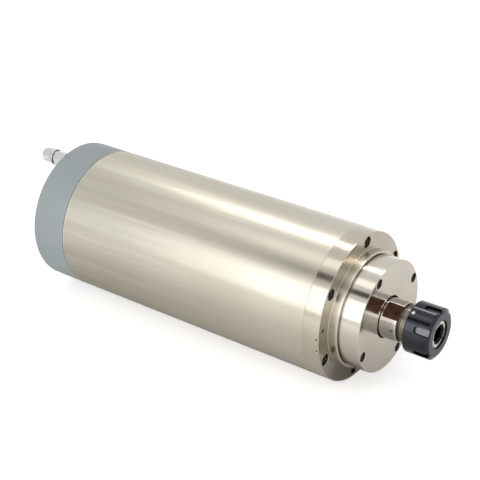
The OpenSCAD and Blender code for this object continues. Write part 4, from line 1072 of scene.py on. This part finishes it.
def make_connector():
    """The power connector's shell, with its coupling thread and key way."""
    shell = turned("connector_coupling", outwards([
        (-12, SHELL_BORE_R), (-12, 9), (0, 9), (0, SHELL_FLANGE_R - 0.2), (0.2, SHELL_FLANGE_R),
        (2, SHELL_FLANGE_R), (2.35, SHELL_FLANGE_R - 0.12), (2.5, SHELL_FLANGE_R - 0.5),
        (2.5, BARREL_R - 0.1), (3.6, BARREL_R - 0.1), (3.6, BARREL_ROOT_R),
        (BARREL_END - 0.6, BARREL_ROOT_R), (BARREL_END, BARREL_ROOT_R - 0.5), (BARREL_END, SHELL_BORE_R),
        (3, SHELL_BORE_R), (3, SHELL_STEP_R), (-1, SHELL_STEP_R), (-1, SHELL_BORE_R),
        (-12, SHELL_BORE_R)]), 96)
    key_way = block("key way", (out(BARREL_END + 1), -1, SHELL_STEP_R), (out(3.2), 1, SHELL_BORE_R + 0.7))
    cut_out(shell, key_way)
    ridge = screw_thread("coupling thread", out(BARREL_END - 0.6), out(3.8), BARREL_ROOT_R - 0.05,
                         BARREL_R, COUPLING_PITCH, 64)
    shell = joined([shell, ridge])
    dress(moved(shell, CONNECTOR_R, CONNECTOR_TURN), "housing", "nickel_plate", NICKEL, "connector_shell")


make_front_housing()
make_front_cover()
make_tube()
make_rear_cap()
make_screws()
make_shaft()
make_collet_nut()
make_collet()
make_hose_fittings()
make_connector()


# Floor, lamps and camera

def floor_material():
    """Pale floor: white to the camera, and where the steel reflects it, darker close to the body: a
    painted shadow.
    """
    material, tree, shader, coords = start_material("pale floor")
    shader.inputs["Roughness"].default_value = 0.9
    shader.inputs["Emission Color"].default_value = (1, 0.99, 0.97, 1)
    half_length = 0.15
    rays = add(tree, "ShaderNodeLightPath").outputs
    place = add(tree, "ShaderNodeSeparateXYZ", {0: coords}).outputs
    middle = add(tree, "ShaderNodeMath", {0: place["X"], 1: half_length}, operation="ADD").outputs[0]
    along = add(tree, "ShaderNodeMath", {0: middle}, operation="ABSOLUTE").outputs[0]
    beyond = add(tree, "ShaderNodeMapRange", {
        "Value": along, "From Min": half_length, "From Max": half_length + 1, "To Max": 1.5}).outputs[0]
    beside = add(tree, "ShaderNodeCombineXYZ", {"X": beyond, "Y": place["Y"]}).outputs[0]
    away = add(tree, "ShaderNodeVectorMath", {0: beside}, operation="LENGTH").outputs["Value"]
    # Painted shadow for reflections: the floor's glow rises from nothing near the body to full further
    # away
    rising = add(tree, "ShaderNodeMapRange", {
        "Value": away, "From Min": 0.03, "From Max": 0.35}).outputs[0]
    unshadowed = add(tree, "ShaderNodeMath", {0: rising, 1: 0.42}, operation="POWER").outputs[0]
    # Reflections see a darker floor colour than the camera does, part of the same painted shadow
    colour = blend_colours(tree, rays["Is Glossy Ray"], (0.90, 0.90, 0.90), (0.52, 0.50, 0.47))
    tree.links.new(colour, shader.inputs["Base Color"])
    mirrored = times(tree, times(tree, rays["Is Glossy Ray"], unshadowed), 0.8)
    seen = times(tree, rays["Is Camera Ray"], 0.5)
    glow = add(tree, "ShaderNodeMath", {0: mirrored, 1: seen}, operation="MAXIMUM")
    tree.links.new(glow.outputs[0], shader.inputs["Emission Strength"])
    return material


def make_floor():
    """A wide plain floor, just under the body."""
    bpy.ops.object.select_all(action="DESELECT")
    bpy.ops.mesh.primitive_plane_add(size=12, location=(0, 0, -(BODY_R + 0.1) * MM))
    floor = bpy.context.object
    floor.name = "floor"
    floor.data.materials.append(floor_material())


def light_world():
    """White for the camera and for reflections, and a plain level for the light itself."""
    world = bpy.data.worlds.new("studio")
    bpy.context.scene.world = world
    world.use_nodes = True
    tree = world.node_tree
    tree.nodes.clear()
    rays = add(tree, "ShaderNodeLightPath").outputs
    mirrored = add(tree, "ShaderNodeMath", {0: rays["Is Glossy Ray"], 1: rays["Is Transmission Ray"]},
                   operation="MAXIMUM")
    seen = add(tree, "ShaderNodeMath", {0: mirrored.outputs[0], 1: rays["Is Camera Ray"]},
               operation="MAXIMUM")
    strength = add(tree, "ShaderNodeMapRange", {"Value": seen.outputs[0], "To Min": 0.6, "To Max": 1.0})
    light = add(tree, "ShaderNodeBackground",
                {"Color": (1, 1, 1, 1), "Strength": strength.outputs[0]})
    output = add(tree, "ShaderNodeOutputWorld")
    tree.links.new(light.outputs[0], output.inputs[0])


def round_the_body(turn, reach, x):
    """A place at that turn round the spindle's axis, in degrees from +Y towards +Z."""
    return Vector((x, 0, 0)) + reach * turned_way(turn)


def facing(thing, place, target):
    """Turns a lamp or card at a place to look at a target, its width along X."""
    back = (place - target).normalized()
    side = Vector((1, 0, 0))
    side = (side - back * side.dot(back)).normalized()
    up = back.cross(side)
    turn = Matrix((side, up, back)).transposed().to_4x4()
    thing.matrix_world = Matrix.Translation(place) @ turn


def softbox(name, turn, reach, x0, x1, width, radiance, colour=(1, 1, 1), only_mirrored=False):
    """A long lamp beside the body, from x0 to x1, that shows as a band along the tube."""
    length = x1 - x0
    lamp = bpy.data.lights.new(name, "AREA")
    lamp.shape = "RECTANGLE"
    lamp.size = length
    lamp.size_y = width
    lamp.energy = radiance * math.pi * length * width
    lamp.color = colour
    thing = bpy.data.objects.new(name, lamp)
    bpy.context.scene.collection.objects.link(thing)
    place = round_the_body(turn, reach, (x0 + x1) / 2)
    facing(thing, place, Vector(((x0 + x1) / 2, 0, 0)))
    thing.visible_camera = False
    thing.visible_diffuse = not only_mirrored


def dark_card(name, turn, reach, x0, x1, width, colour):
    """A dark card that only reflections see, for the dark bands in the polished steel."""
    bpy.ops.object.select_all(action="DESELECT")
    bpy.ops.mesh.primitive_plane_add(size=1)
    card = bpy.context.object
    card.name = name
    material, _, shader, _ = start_material(name)
    shader.inputs["Base Color"].default_value = (*colour, 1)
    shader.inputs["Roughness"].default_value = 1.0
    card.data.materials.append(material)
    place = round_the_body(turn, reach, (x0 + x1) / 2)
    facing(card, place, Vector(((x0 + x1) / 2, 0, 0)))
    card.matrix_world = card.matrix_world @ Matrix.Diagonal((x1 - x0, width, 1, 1))
    card.visible_camera = False
    card.visible_shadow = False
    card.visible_diffuse = False


def place_camera():
    """The camera, at the place and with the angle of view that the body's circles give."""
    camera = bpy.data.cameras.new("camera")
    camera.lens = 90.99
    camera.sensor_width = 36
    thing = bpy.data.objects.new("camera", camera)
    bpy.context.scene.collection.objects.link(thing)
    thing.location = (0.41229, -0.72563, 0.49593)
    thing.rotation_euler = (math.radians(90 - 27.736), 0, math.radians(36.22))
    bpy.context.scene.camera = thing


make_floor()
light_world()
softbox("key softbox", turn=157, reach=1.0, x0=-0.88, x1=0.75, width=0.66, radiance=1.6)
softbox("rim strip", turn=66, reach=1.0, x0=-0.84, x1=0.75, width=0.09, radiance=10.0,
        colour=(1, 0.97, 0.90), only_mirrored=True)
softbox("top strip", turn=101, reach=1.0, x0=-0.78, x1=0.75, width=0.26, radiance=0.9,
        colour=(1, 0.98, 0.93))
dark_card("dark flag", turn=123, reach=0.9, x0=-0.56, x1=0.6, width=0.16, colour=(0.08, 0.07, 0.06))
place_camera()
bpy.context.scene.view_settings.view_transform = "Standard"
